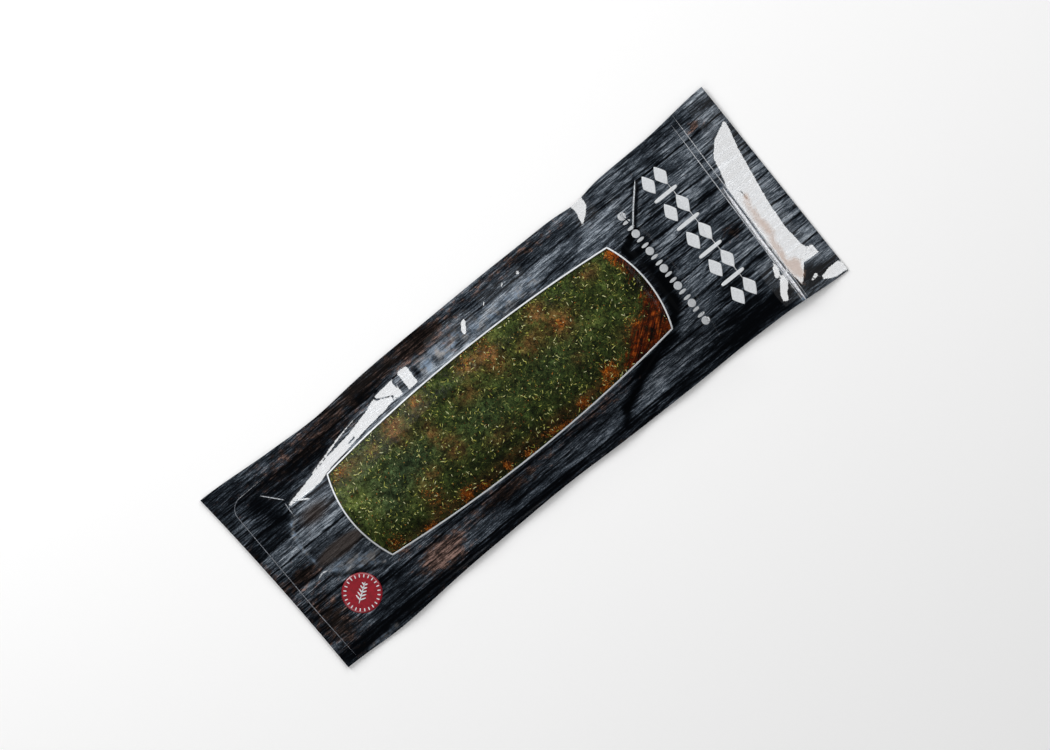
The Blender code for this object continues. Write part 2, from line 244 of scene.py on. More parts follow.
def factor_property(name, description, default):
    return FloatProperty(
        name=name, description=description, default=default, min=0.0, max=1.0, subtype="FACTOR"
    )


def count_property(name, description, default):
    return IntProperty(name=name, description=description, default=default, min=0)


class FilmSettings(bpy.types.PropertyGroup):
    """The film, its print and its seals."""

    thickness: length_property("Film Thickness", "Thickness of each ply of film", 0.00040)
    pane_thickness: length_property("Pane Thickness", "Thickness of the clear film", 0.00022)
    outline_width: length_property("Outline Width", "Width of the line round the window", 0.00095)
    print_height: length_property("Print Height", "How far the prints stand on the film", 0.00012)
    char: colour_property("Char", "Darkest colour of the printed planks", (4, 5, 7))
    slate: colour_property("Slate", "Middle colour of the printed planks", (60, 67, 75))
    ash: colour_property("Ash", "Palest streaks of the printed planks", (128, 136, 145))
    brown: colour_property("Brown", "Worn brown patches of the planks", (72, 57, 52))
    ink: colour_property("Ink", "Pale ink of the outline and the ornaments", (222, 225, 228))
    red: colour_property("Label Red", "Ground of the round mark", (150, 9, 31))
    roughness: factor_property("Film Roughness", "Roughness of the film under its gloss", 0.50)


class CrustSettings(bpy.types.PropertyGroup):
    """The salmon and what is strewn on it."""

    threads: count_property("Dill Threads", "Chopped threads of dill", 16000)
    stems: count_property("Dill Stems", "Pale slivers of dill stem", 920)
    spice: count_property("Spice", "Orange-brown crumbs", 2600)
    pepper: count_property("Pepper", "Dark grains", 520)
    thread_length: length_property("Thread Length", "Mean length of a dill thread", 0.0021)
    stem_length: length_property("Stem Length", "Mean length of a stem sliver", 0.0022)
    dill: colour_property("Dill", "Middle colour of the dill", (54, 68, 30))
    flesh: colour_property("Flesh", "Colour of the bare salmon", (108, 38, 5))


class StageSettings(bpy.types.PropertyGroup):
    """The floor, the lamps and the camera."""

    floor: colour_property("Floor", "Colour of the floor", (255, 255, 255))
    lens: FloatProperty(name="Lens", description="Focal length of the camera in mm", default=200.0, min=20.0)
    view_width: length_property("View Width", "Width of the picture at the pouch", 0.630)
    turn: FloatProperty(
        name="Turn", description="Turn of the camera", default=math.radians(-39.0), unit="ROTATION"
    )


def smooth_step(share):
    """0 below 0, 1 above 1, and an S between them: 3 s squared less 2 s cubed."""
    held = np.clip(share, 0.0, 1.0)
    return held * held * (3.0 - 2.0 * held)


def soft_least(power, *values):
    """The least of the values; where all are above 0, the -1/power power of the sum of -power powers."""
    least = np.minimum.reduce(values)
    above = [np.maximum(value, 1e-9) for value in values]
    rounded = sum(value**-power for value in above) ** (-1.0 / power)
    return np.where(least > 0.0, rounded, least)


def long_edge(x, side):
    """The y of the far edge (side 1) or near edge (side -1): half the tapering width, less bells."""
    s = 2.0 * x / POUCH_LENGTH
    half_width = 0.5 * (TAIL_END_WIDTH + (CUT_END_WIDTH - TAIL_END_WIDTH) * (s + 1.0) / 2.0)
    ends = smooth_step((1.0 + s) / HEM_DRAW_RAMP) * smooth_step((1.0 - s) / HEM_DRAW_RAMP)
    draws = FAR_DRAWS if side > 0 else NEAR_DRAWS
    dips = sum(depth * np.exp(-(((s - place) / spread) ** 2)) for place, depth, spread in draws)
    return side * (half_width - ends * (HEM_DRAW + dips))


def end_edge(y, end):
    """The x of the cut end (end 1) or tail end (end -1): both lean a little, and the tail end bows in."""
    lean = CUT_EDGE_LEAN if end > 0 else TAIL_EDGE_LEAN
    bow = TAIL_EDGE_BOW * (1.0 - (2.0 * y / CUT_END_WIDTH) ** 2) * (end < 0)
    return end * (POUCH_LENGTH / 2.0 - lean * (0.5 - y / CUT_END_WIDTH)) + bow


def fillet_middle(x):
    """The fillet's middle line and half width: a power of the way into the taper shifts and narrows them."""
    tail = np.clip((TAPER_START - x) / (TAPER_START - TAIL_FOOT), 0.0, 1.2) ** TAPER_POWER
    return FOOT_MIDDLE + TAIL_SIDE_SHIFT * tail, FOOT_HALF_WIDTH * (1.0 - TAPER * tail)


def rise(x, y):
    """How high the film stands over the hem: the soft least of four sloping walls and a crowned top."""
    middle, half = fillet_middle(x)
    across = np.abs(y - middle) / half
    along = np.clip((x - TAIL_FOOT) / (CUT_FOOT - TAIL_FOOT), 0.0, 1.0)
    side = (half - np.abs(y - middle)) * (TAIL_SIDE_SLOPE + (CUT_SIDE_SLOPE - TAIL_SIDE_SLOPE) * along)
    cut = (CUT_FOOT - CUT_BOW * across**2 - x) * CUT_END_SLOPE
    tail = (x - TAIL_FOOT - TAIL_BOW * across**2) * TAIL_END_SLOPE
    crown = CROWN * (1.0 - np.minimum(across, 1.0) ** 2)
    top = TAIL_HEIGHT + (CUT_HEIGHT - TAIL_HEIGHT) * along**THICKENING + crown
    return soft_least(SHOULDER_POWER, side, cut, tail, top)


def climb(x, y):
    """The rise with nothing below the hem: the logarithm of 1 and its exponential, at the foot's softness."""
    return FOOT_SOFTNESS * np.logaddexp(0.0, rise(x, y) / FOOT_SOFTNESS)


def flap_height(x, y):
    """The flap: an S up to the seal's ridge, then a straight fall from the ridge, and a slight one."""
    up = FLAP_LIFT * smooth_step((x - FLAP_START) / (FLAP_RIDGE - FLAP_START))
    ridge = np.interp(y, *np.array(RIDGE_LINE).T)
    left = np.maximum(FLAP_FALL - (x - ridge), 1e-5)
    fall = FLAP_FALL - soft_least(FLAP_ROUNDING, left, np.full_like(x, FLAP_FALL))
    return up - FLAP_SLOPE * fall - FLAP_REST * np.maximum(x - ridge - FLAP_FALL, 0.0)


def hem_height(x, y):
    """The height of the two plies' middle: an exponential droop, a sine wave along it, and the flap."""
    outside = np.maximum(-rise(x, y), 0.0)
    droop = HEM_FAR_OUT + (HEM_NEAR_FISH - HEM_FAR_OUT) * np.exp(-outside / HEM_DROOP)
    phase = 2.0 * math.pi * x / HEM_WAVE_LENGTH + HEM_WAVE_SHIFT * np.sign(y)
    wave = HEM_WAVE * np.sin(phase) * (2.0 * y / CUT_END_WIDTH) ** 2
    return droop + wave + flap_height(x, y)


def smooth_film(x, y):
    """The upper film without its folds."""
    return hem_height(x, y) + HALF_HEM + climb(x, y)


def under_film(x, y):
    """The lower film's underside: flat under the fillet, rising by an S to the hem."""
    return (hem_height(x, y) - HALF_HEM) * (1.0 - smooth_step(climb(x, y) / BELLY_RISE))


def along_segment(x, y, ax, ay, bx, by):
    """For each point, the share of the way along the segment that is nearest, and the distance to it."""
    dx, dy = bx - ax, by - ay
    held = np.clip(((x - ax) * dx + (y - ay) * dy) / (dx * dx + dy * dy), 0.0, 1.0)
    return held, np.hypot(x - ax - held * dx, y - ay - held * dy)


def folds(x, y):
    """Folds in the film: bells across their segments, fading at the ends; none reaches the lower ply."""
    height = np.zeros_like(x)
    for *ends, depth, width in FOLDS:
        share, distance = along_segment(x, y, *ends)
        fade = FOLD_ENDS + (1.0 - FOLD_ENDS) * np.sin(math.pi * share)
        height += depth * fade * np.exp(-((distance / width) ** 2))
    return np.maximum(height, -HEM_FOLD_DEPTH - climb(x, y))


def inside_distance(x, y, corners):
    """How far each point is inside the outline, below 0 outside: the distance to its nearest edge, signed."""
    nearest = np.full_like(x, 1.0)
    inside = np.zeros(x.shape, dtype=bool)
    for (ax, ay), (bx, by) in zip(corners, np.roll(corners, -1, axis=0)):
        nearest = np.minimum(nearest, along_segment(x, y, ax, ay, bx, by)[1])
        spans = (ay > y) != (by > y)
        inside ^= spans & (x < (bx - ax) * (y - ay) / (by - ay + 1e-12) + ax)
    return np.where(inside, nearest, -nearest)


def within(x, y, shapes):
    """How far each point is inside the nearest of the outlines, below 0 outside them all."""
    return np.maximum.reduce([inside_distance(x, y, corners) for corners in shapes])


def stroke_field(x, y, strokes):
    """The sum of strokes, each an amount along its segment that falls off as a bell beside it."""
    total = np.zeros_like(x)
    for *ends, width, amount in strokes:
        total += amount * np.exp(-((along_segment(x, y, *ends)[1] / width) ** 2))
    return total


def gloss_field(x, y):
    """How far each point is inside the gloss's outlines, and no farther than it is from the creases in it."""
    clear = [along_segment(x, y, *ends)[1] - half for *ends, half in GLOSS_CUTS]
    return np.minimum(within(x, y, GLOSS), np.minimum.reduce(clear))


# Ripples of the taut film on the far wall: height, waves by their rates along x and y and their shift,
# and the patch that they fill, with the lengths over which they fade
RIPPLE_HEIGHT = 0.00006
RIPPLE_WAVES = ((520.0, 310.0, 0.0), (870.0, -420.0, 1.0), (1240.0, 0.0, 2.0))
RIPPLE_X = (-0.072, 0.010)
RIPPLE_X_FADES = (0.020, 0.060)
RIPPLE_Y = (0.030, 0.056)
RIPPLE_Y_FADE = 0.010


def ripples(x, y):
    """Small waves of the taut film on the far wall: three crossing sines, in a patch that fades out."""
    waves = sum(np.sin(rate_x * x + rate_y * y + shift) for rate_x, rate_y, shift in RIPPLE_WAVES)
    tail, cut = (x - RIPPLE_X[0]) / RIPPLE_X_FADES[0], (RIPPLE_X[1] - x) / RIPPLE_X_FADES[1]
    near, far = (y - RIPPLE_Y[0]) / RIPPLE_Y_FADE, (RIPPLE_Y[1] - y) / RIPPLE_Y_FADE
    patch = smooth_step(tail) * smooth_step(cut)
    return RIPPLE_HEIGHT * waves * patch * smooth_step(near) * smooth_step(far)


def printed_top(x, y):
    """The upper film: its smooth surface, its folds and its ripples added up."""
    return smooth_film(x, y) + folds(x, y) + ripples(x, y)


def away_from(azimuth, elevation):
    """The direction at those angles in degrees, round from X and up from the floor."""
    a, e = math.radians(azimuth), math.radians(elevation)
    return np.array((math.cos(a) * math.cos(e), math.sin(a) * math.cos(e), math.sin(e)))


def slopes(surface, x, y, step):
    """The slope of a surface along x and y, by differences over two steps."""
    return (
        (surface(x + step, y) - surface(x - step, y)) / (2.0 * step),
        (surface(x, y + step) - surface(x, y - step)) / (2.0 * step),
    )


def unit(vectors):
    """Each vector over its own length."""
    return vectors / np.linalg.norm(vectors, axis=-1, keepdims=True)


def gloss_facing(x, y):
    """The way the gloss faces: the film's normal, or in a glint midway between its lamp and the camera."""
    slope_x, slope_y = slopes(printed_top, x, y, GLOSS_STEP)
    facing = unit(np.stack([-slope_x, -slope_y, np.ones_like(x)], -1))
    for gx, gy, reach_x, reach_y, row in GLINTS:
        glint = np.array((gx, gy, 0.0))
        target, azimuth, elevation, distance = LAMPS[int(row)][1:5]
        lamp = np.array(target) + away_from(azimuth, elevation) * distance
        midway = unit(unit(lamp - glint) + unit(np.array(CAMERA_PLACE) - glint))
        bell = np.exp(-(((x - gx) / reach_x) ** 8) - ((y - gy) / reach_y) ** 8)[..., None]
        facing = facing * (1.0 - bell) + bell * midway
    return unit(facing)


def window_side(k, s):
    """Side k of the window's outline at s from 0 to 1, anticlockwise from the near side: a circular arc."""
    a, b = WINDOW_HALF_LENGTH, WINDOW_HALF_WIDTH
    corners = [(-a, -b), (a, -b), (a, b), (-a, b)]
    bulge = WINDOW_END_BULGE if k % 2 else WINDOW_SIDE_BULGE
    start, end = Vector(corners[k]), Vector(corners[(k + 1) % 4])
    chord = end - start
    radius = (chord.length**2 / 4.0 + bulge**2) / (2.0 * bulge)
    outward = Vector((chord.y, -chord.x)).normalized()
    centre = (start + end) / 2.0 + outward * (bulge - radius)
    angle = math.atan2(outward.y, outward.x) + math.asin(chord.length / 2.0 / radius) * (2.0 * s - 1.0)
    x, y = WINDOW_MIDDLE + centre.x + radius * np.cos(angle), centre.y + radius * np.sin(angle)
    return np.stack([x, y], -1)


def footprint_side(k, s):
    """Side k of the pouch's footprint at s from 0 to 1, anticlockwise from the near side."""
    half = CUT_END_WIDTH / 2.0
    if k % 2 == 0:
        side = -1.0 if k == 0 else 1.0
        ends = end_edge(side * half, -1.0), end_edge(side * half, 1.0)
        share = s if k == 0 else 1.0 - s
        x = ends[0] + (ends[1] - ends[0]) * share
        return np.stack([x, long_edge(x, side)], -1)
    end = 1.0 if k == 1 else -1.0
    corners = [long_edge(end_edge(side * half, end), side) for side in (-1.0, 1.0)]
    share = s if k == 1 else 1.0 - s
    y = corners[0] + (corners[1] - corners[0]) * share
    return np.stack([end_edge(y, end), y], -1)


def patch_points(sides, s, t):
    """A Coons patch: the sum of the blends across both ways, less the blend of the four corners."""
    near, cut, far, tail = (sides(0, s), sides(1, t), sides(2, 1.0 - s), sides(3, 1.0 - t))
    s, t = s[:, None, None], t[None, :, None]
    blend = (1 - t) * near[:, None] + t * far[:, None] + (1 - s) * tail[None] + s * cut[None]
    corners = (1 - s) * (1 - t) * near[0] + s * (1 - t) * near[-1] + (1 - s) * t * far[0] + s * t * far[-1]
    return blend - corners


def raw_mesh(name, points, faces):
    """A mesh whose faces all have the same number of corners, from two arrays."""
    mesh = bpy.data.meshes.new(name)
    corners = faces.shape[1]
    mesh.vertices.add(len(points))
    mesh.vertices.foreach_set("co", np.ascontiguousarray(points, dtype=np.float32).ravel())
    mesh.loops.add(faces.size)
    mesh.loops.foreach_set("vertex_index", np.ascontiguousarray(faces, dtype=np.int32).ravel())
    mesh.polygons.add(len(faces))
    mesh.polygons.foreach_set("loop_start", np.arange(0, faces.size, corners, dtype=np.int32))
    mesh.update(calc_edges=True)
    return mesh


def add_piece(name, mesh, material, slot, *nodes):
    """Puts the mesh in the scene as a piece that rides on the pouch's body."""
    mesh.materials.append(material)
    mesh.shade_smooth()
    piece = bpy.data.objects.new(name, mesh)
    bpy.context.scene.collection.objects.link(piece)
    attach(piece, "root")
    if nodes:
        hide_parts(*nodes)


def add_field(mesh, name, values):
    """A number at each point of the mesh, for its material to read."""
    field = mesh.attributes.new(name, "FLOAT", "POINT")
    field.data.foreach_set("value", np.ascontiguousarray(values, dtype=np.float32).ravel())


def quads(index, ring=False):
    """The faces of a grid of point numbers, anticlockwise; a ring joins its last row to its first."""
    rows = np.concatenate([index, index[:1]]) if ring else index
    a, b, c, d = rows[:-1, :-1], rows[1:, :-1], rows[1:, 1:], rows[:-1, 1:]
    return np.stack([a, b, c, d], -1).reshape(-1, 4)


def closed_sheet(name, plan, top, bottom, ring=False):
    """A closed sheet over a grid of (x, y): its top, its underside, and walls where the grid ends.

    A grid that runs anticlockwise first and then inwards or across keeps its faces pointing out.
    """
    n, m = plan.shape[:2]
    x, y = plan[..., 0], plan[..., 1]
    upper, lower = np.stack([x, y, top], -1), np.stack([x, y, bottom], -1)
    points = np.concatenate([upper.reshape(-1, 3), lower.reshape(-1, 3)])
    above = np.arange(n * m).reshape(n, m)
    below = above + n * m
    faces = [quads(above, ring), quads(below, ring)[:, ::-1]]
    first = np.stack([above[:, 0], below[:, 0]], -1)
    last = np.stack([above[:, -1], below[:, -1]], -1)
    faces += [quads(first, ring)[:, ::-1], quads(last, ring)]
    if not ring:
        start = np.stack([above[0], below[0]], -1)
        finish = np.stack([above[-1], below[-1]], -1)
        faces += [quads(start), quads(finish)[:, ::-1]]
    return raw_mesh(name, points, np.concatenate(faces))


def blob_field(x, y, blobs):
    """The sum of bell-shaped blobs, each x, y, half length, half width, amount."""
    return sum(
        amount * np.exp(-(((x - bx) / rx) ** 2) - ((y - by) / ry) ** 2) for bx, by, rx, ry, amount in blobs
    )


class Value:
    """One output of a node, with arithmetic that adds math nodes."""

    def __init__(self, nodes, socket):
        self.nodes = nodes
        self.socket = socket

    def __add__(self, other):
        return self.nodes.math("ADD", self, other)

    def __sub__(self, other):
        return self.nodes.math("SUBTRACT", self, other)

    def __rsub__(self, other):
        return self.nodes.math("SUBTRACT", other, self)

    def __mul__(self, other):
        return self.nodes.math("MULTIPLY", self, other)


class Nodes:
    """Builds a material's node tree: each call adds a node and returns one of its outputs."""

    def __init__(self, name):
        self.material = bpy.data.materials.new(name)
        self.material.use_nodes = True
        self.tree = self.material.node_tree
        self.shader = self.tree.nodes["Principled BSDF"]

    def put(self, socket, value):
        """Links a node's output to the socket, or gives it a number, a colour or a vector."""
        if isinstance(value, Value):
            self.tree.links.new(value.socket, socket)
        elif socket.type == "RGBA":
            socket.default_value = (*value, 1.0)
        else:
            socket.default_value = value

    def node(self, kind, inputs, **settings):
        """A new node of that kind, with its settings and what goes into its inputs."""
        node = self.tree.nodes.new(kind)
        for key, value in settings.items():
            setattr(node, key, value)
        for key, value in inputs.items():
            self.put(node.inputs[key], value)
        return node

    def add(self, kind, inputs, output=0, **settings):
        """One output of a new node."""
        return Value(self, self.node(kind, inputs, **settings).outputs[output])

    def finish(self, **values):
        """Puts values into the shader's inputs, named in small letters; returns the material."""
        for key, value in values.items():
            self.put(self.shader.inputs[key.replace("_", " ").title().replace("Ior", "IOR")], value)
        return self.material

    def place(self, scale=1.0):
        """The object's own coordinates in metres, times a scale for all axes or for each of the three."""
        source = self.add("ShaderNodeTexCoord", {}, "Object")
        scale = scale if isinstance(scale, tuple) else (scale, scale, scale)
        return self.add("ShaderNodeMapping", {"Vector": source, "Scale": scale})

    def noise(self, vector, detail=4.0, roughness=0.55, distortion=0.0):
        """Noise round 0.5, over a vector or over the object's own coordinates at a scale."""
        vector = vector if isinstance(vector, Value) else self.place(vector)
        inputs = {
            "Vector": vector, "Scale": 1.0, "Detail": detail, "Roughness": roughness, "Distortion": distortion
        }
        return self.add("ShaderNodeTexNoise", inputs, "Fac")

    def math(self, operation, first, second=0.0, clamp=False):
        return self.add("ShaderNodeMath", {0: first, 1: second}, operation=operation, use_clamp=clamp)

    def span(self, value, low, high, to_low=0.0, to_high=1.0):
        """An S from to_low, where the value is low, to to_high, where it is high."""
        inputs = {"Value": value, "From Min": low, "From Max": high, "To Min": to_low, "To Max": to_high}
        return self.add("ShaderNodeMapRange", inputs, interpolation_type="SMOOTHSTEP")

    def field(self, name, output="Fac"):
        """A value that the mesh holds at its points."""
        return self.add("ShaderNodeAttribute", {}, output, attribute_name=name)

    def mix(self, share, first, second, blend="MIX"):
        inputs = {0: share, 6: first, 7: second}
        return self.add("ShaderNodeMix", inputs, 2, data_type="RGBA", blend_type=blend)

    def times(self, colour, factor):
        """A colour times a number or another colour."""
        return self.mix(1.0, colour, factor, "MULTIPLY")

    def ramp(self, value, *stops, interpolation="LINEAR"):
        """A colour for each value. A stop is a place and a colour, or a place and srgb's three numbers."""
        node = self.node("ShaderNodeValToRGB", {"Fac": value})
        node.color_ramp.interpolation = interpolation
        elements = node.color_ramp.elements
        while len(elements) < len(stops):
            elements.new(1.0)
        for element, (place, *colour) in zip(elements, stops):
            element.position = place
            element.color = (*(srgb(*colour) if len(colour) == 3 else colour[0]), 1.0)
        return Value(self, node.outputs[0])

    def bump(self, height, distance, **more):
        return self.add("ShaderNodeBump", {"Height": height, "Distance": distance, **more})


# The printed planks: their seams' places across, and each plank's own tone
PLANK_SEAMS = (-0.0590, -0.0405, -0.0255, -0.0115, 0.0056, 0.0165, 0.0281, 0.0510)
PLANK_TONES = (0.35, 0.62, 0.20, 0.80, 0.48, 0.93, 0.10, 0.70, 0.42)
PRINT_REACH = 0.072
PLANK_SWAY = 0.0030
PLANK_SHIFT = 17.0

# The print's tone, paler above 0 and darker below, with painted shade where slopes and folds turn from the
# lamps,
# and its brown and plain patches: x, y, half length, half width, amount
TONE_AND_SHADE_BLOBS = in_metres((
    (-182, 60, 20, 9, -0.26), (-166, 41, 22, 10, -0.36), (-173, 25, 13, 9, -0.26), (-150, 51, 26, 5, -0.2),
    (-122, 44, 30, 8, -0.36), (-95, 52, 30, 5, -0.2), (-60, 60, 50, 7, -0.22), (-30, 58, 14, 6, -0.16),
    (-146, 18, 14, 10, 0.12), (-175, -7, 11, 4.5, -0.4), (-193, 0, 6, 60, -0.26), (-178, -40, 10, 24, -0.3),
    (-150, -63, 60, 7, -0.36), (-130, -47, 24, 13, -0.3), (-102, -50, 15, 10, 0.24), (-50, -46, 30, 6, -0.26),
    (-60, -61, 60, 6, -0.22), (10, -43, 30, 5, -0.16), (78, -50, 22, 8, 0.05), (20, -63, 90, 4, -0.16),
    (20, 45, 34, 7, 0.08), (-28, 46, 14, 7, 0.06), (-45.7, 44.6, 1.8, 3.2, -0.5),
    (-15, 42.5, 4.5, 2.8, -0.34), (-32, 43, 2.2, 3, -0.24), (-39, 48, 3, 1.8, 0.16), (62, 42, 12, 6, -0.22),
    (50, 58, 34, 5, -0.14), (120, 10, 30, 40, -0.05), (103.2, 20.6, 3, 1.6, 0.4), (144, 55, 8, 5, -0.28),
    (150, 42, 12, 6, -0.14), (155.5, 18, 6, 2.5, -0.4), (155, -8.5, 6, 4, -0.32), (130, -60, 26, 8, -0.3),
    (128, -53, 34, 14, -0.24), (130, -51, 40, 10, -0.12), (-20, -54, 100, 14, -0.06), (66, -60, 30, 6, -0.16),
    (-146, -8.5, 12, 4, 0.14), (98.5, 0, 5, 16, -0.2), (176, -60, 10, 5, -0.4), (186, -20, 6, 30, 0.12),
), kept=1)
BROWN_BLOBS = in_metres((
    (-102, -50, 16.5, 9.5, 1.15), (-118, -34, 8, 3, 0.6), (-33, 58, 18, 7.5, 0.62), (-60, 59, 60, 8, 0.44),
    (-125, 52, 50, 10, 0.56), (-175, -7, 12, 5, 0.8), (-193, 5, 6, 30, 0.66), (-177, -40, 13, 24, 0.7),
    (-48, -44, 32, 5.5, 0.7), (-18.5, 46, 4, 4, 0.8), (25, -41, 30, 4, 0.55), (-30, -66, 100, 3, 0.5),
    (155, -8.5, 7, 4, 0.6), (176, 55, 8, 3.5, 0.6), (45, 61, 40, 4.5, 0.5),
), kept=1)
PLAIN_BLOBS = in_metres((
    (-147, -7.8, 17, 4.8, 1.6), (-146, 18, 15, 8, 0.78), (-177, -42, 11, 19, 0.46), (-150, 46, 20, 7, 0.36),
    (-75, 60.5, 55, 7, 0.52),
), kept=1)
# A painted reflection: the beige patch that shows in the flap's gloss
PAINTED_REFLECTION_SHAPES = outlines(
    (
        (174.1, 4.6), (176.5, 2.8), (173.8, -3.8), (174.7, -8.6), (173.8, -13.4), (175, -19.4),
        (174.4, -24.8), (171.7, -30.2), (171.4, -37.4), (170.5, -42.2), (174.7, -44), (176.5, -47),
        (173.5, -53), (168.1, -60.2), (166.6, -52.4), (165.7, -43.4), (166.3, -34.4), (168.1, -28.4),
        (169.3, -22.4), (168.7, -15.8), (169, -8.6), (169.9, -2.6), (171.1, 1.6),
    ),
)

def plank_print(film):
    """The printed planks: noise stretched along X in four sizes, seams, worn patches, painted shade and
    painted reflections, and the film's gloss.
    """
    nodes = Nodes("printed planks")
    x, y = (nodes.add("ShaderNodeSeparateXYZ", {"Vector": nodes.place()}, axis) for axis in "XY")
    y = y + (nodes.noise((13.0, 30.0, 1.0), 3.0) - 0.5) * PLANK_SWAY
    across = nodes.add("ShaderNodeMapRange", {"Value": y, "From Min": -PRINT_REACH, "From Max": PRINT_REACH})
    places = [(start + PRINT_REACH) / (2.0 * PRINT_REACH) for start in (-PRINT_REACH, *PLANK_SEAMS)]
    stops = [(place, (tone, tone, tone)) for place, tone in zip(places, PLANK_TONES)]
    plank = nodes.ramp(across, *stops, interpolation="CONSTANT")
    gap = 1.0
    for seam in PLANK_SEAMS:
        gap = nodes.math("MINIMUM", gap, nodes.math("ABSOLUTE", y - seam))

    def streaks(along, over, detail, roughness, distortion=0.0):
        """Noise round 0, that finely along and over the grain, and shifted from plank to plank."""
        place = {"X": x * along + plank * PLANK_SHIFT, "Y": y * over, "Z": plank * PLANK_SHIFT}
        return nodes.noise(nodes.add("ShaderNodeCombineXYZ", place), detail, roughness, distortion) - 0.5

    coarse = streaks(44.0, 450.0, 6.0, 0.70, 0.3)
    fine = streaks(120.0, 1350.0, 4.0, 0.74)
    broad = streaks(24.0, 90.0, 4.0, 0.62, 0.6)
    speckle = nodes.noise((1000.0, 1500.0, 1.0), 2.0, 0.6) - 0.5
    light = coarse * 1.15 + fine * 1.50 + broad * 1.05 + speckle * 0.55 + (plank - 0.5) * 0.10
    # The tone field brings the print's own tone together with painted shade on shaded slopes and along folds
    light = light + nodes.field("tone")
    light = light + nodes.span(nodes.math("ABSOLUTE", streaks(6.0, 210.0, 3.0, 0.55)), 0.0, 0.026, -0.34, 0.0)
    light = light + nodes.span(gap + fine * 0.0012, 0.0001, 0.0009, -0.42, 0.0)
    char, slate, ash = (0.0, film.char), (0.50, film.slate), (0.75, film.ash)
    wood = nodes.ramp(light, char, (0.25, 19, 23, 28), slate, ash, (1.0, 196, 203, 210))

    patchy = nodes.noise((190.0, 330.0, 1.0), 5.0, 0.7) - 0.5
    worn = nodes.span(nodes.field("brown") + patchy * 2.2, 0.25, 0.75)
    brown = (0.52, film.brown)
    rust = nodes.ramp(light + patchy * 1.1, (0.0, 9, 7, 6), (0.28, 34, 27, 24), brown, (0.8, 148, 120, 110))
    wood = nodes.mix(worn, wood, rust)
    smooth = nodes.ramp(light, (0.1, 34, 29, 27), (0.5, 66, 60, 58), (0.9, 98, 92, 89))
    wood = nodes.mix(nodes.span(nodes.field("plain"), 0.25, 0.85), wood, smooth)

    blotch = nodes.noise((230.0, 150.0, 1.0), 4.0, 0.65)
    # Painted sheen: a pale bluish haze mixed over the print where the field says, standing for reflections on
    # the film
    veil = nodes.field("painted_sheen") * nodes.span(coarse, -0.14, 0.14, 0.35, 1.5)
    veil = veil * nodes.span(blotch, 0.42, 0.60, 0.30, 1.50)
    hue = nodes.span(nodes.noise((150.0, 190.0, 2.0), 3.0, 0.6), 0.44, 0.58)
    haze = nodes.mix(hue, srgb(130, 147, 166), srgb(150, 147, 145))
    wood = nodes.mix(nodes.math("MINIMUM", veil, 1.0), wood, haze)
    # A painted beige reflection in the flap's gloss, which also weakens the coat there
    reflection_share = nodes.span(nodes.field("painted_reflection") + (blotch - 0.5) * 0.0075, -0.0014, 0.0026)
    torn = (nodes.noise((420.0, 420.0, 1.0), 3.0, 0.6) - 0.5) * 0.0016
    glossy = nodes.span(nodes.field("gloss") + torn, -0.0002, 0.0002, 0.02, 1.0)
    # Painted with the highlights: inside the gloss outlines the print is evened towards grey, so the
    # reflection there reads even
    wood = nodes.mix(glossy * 0.55, wood, srgb(70, 76, 84))
    # The painted beige reflection's colour
    wood = nodes.mix(reflection_share * 0.85, wood, srgb(160, 132, 114))

    dimples = nodes.noise((150.0, 190.0, 150.0), 2.0)
    nodes.finish(base_color=wood, roughness=film.roughness, specular_ior_level=0.0)
    nodes.finish(normal=nodes.bump(light + dimples, 0.00020))
    nodes.finish(coat_weight=glossy * (1.0 - reflection_share * 0.54), coat_roughness=0.06, coat_ior=1.7)
    return nodes.finish(coat_normal=nodes.bump(dimples, 0.00006, Normal=nodes.field("facing", "Vector")))


def clear_film():
    """Clear film: nearly all see-through, with a faint haze and a little cling texture in its gloss."""
    nodes = Nodes("clear film")
    cling = nodes.bump(nodes.noise((240.0, 260.0, 240.0), 3.0), 0.0004)
    haze = srgb(40, 42, 38)
    return nodes.finish(base_color=haze, roughness=0.12, alpha=0.045, specular_ior_level=0.3, normal=cling)


def printed_ink(name, colour, least, grain, roughness, coat):
    """Printed ink: mottled by noise from a least share of its colour to all of it, under a gloss coat."""
    nodes = Nodes(name)
    dim = tuple(least * value for value in colour)
    lay = nodes.mix(nodes.span(nodes.noise(*grain), 0.35, 0.65), dim, colour)
    return nodes.finish(base_color=lay, roughness=roughness, coat_weight=coat, coat_roughness=0.10)


def pale_ink(film, name):
    """Pale printed ink: nearly even, with a fine mottle where the film's grain shows."""
    return printed_ink(name, film.ink, 0.82, ((900.0, 1500.0, 900.0), 3.0, 0.7), 0.45, 0.6)


def red_ink(film):
    """Red printed ink with a faint uneven lay."""
    return printed_ink("label red", film.red, 0.70, ((420.0, 500.0, 420.0), 4.0, 0.65), 0.40, 0.8)


def seal_or_highlight_film(name, dark, pale):
    """Pale film broken into fine beads: on a seal, film whitened by pressing; on a crease, a painted
    highlight along its ridge.
    """
    nodes = Nodes(name)
    beads = nodes.ramp(nodes.noise(1400.0, 2.0, 0.6), (0.36, *dark), (0.62, *pale))
    return nodes.finish(base_color=beads, roughness=0.32, coat_weight=0.7, coat_roughness=0.10)


def back_print():
    """The plain dark back: slate with a soft mottle."""
    nodes = Nodes("slate back film")
    tone = nodes.ramp(nodes.noise((18.0, 60.0, 18.0), 5.0, 0.6), (0.32, 20, 22, 26), (0.68, 46, 51, 58))
    nodes.finish(base_color=tone, roughness=0.38, coat_weight=0.8, coat_roughness=0.12)
    return nodes.finish(normal=nodes.bump(nodes.noise(170.0, 2.0), 0.0003))
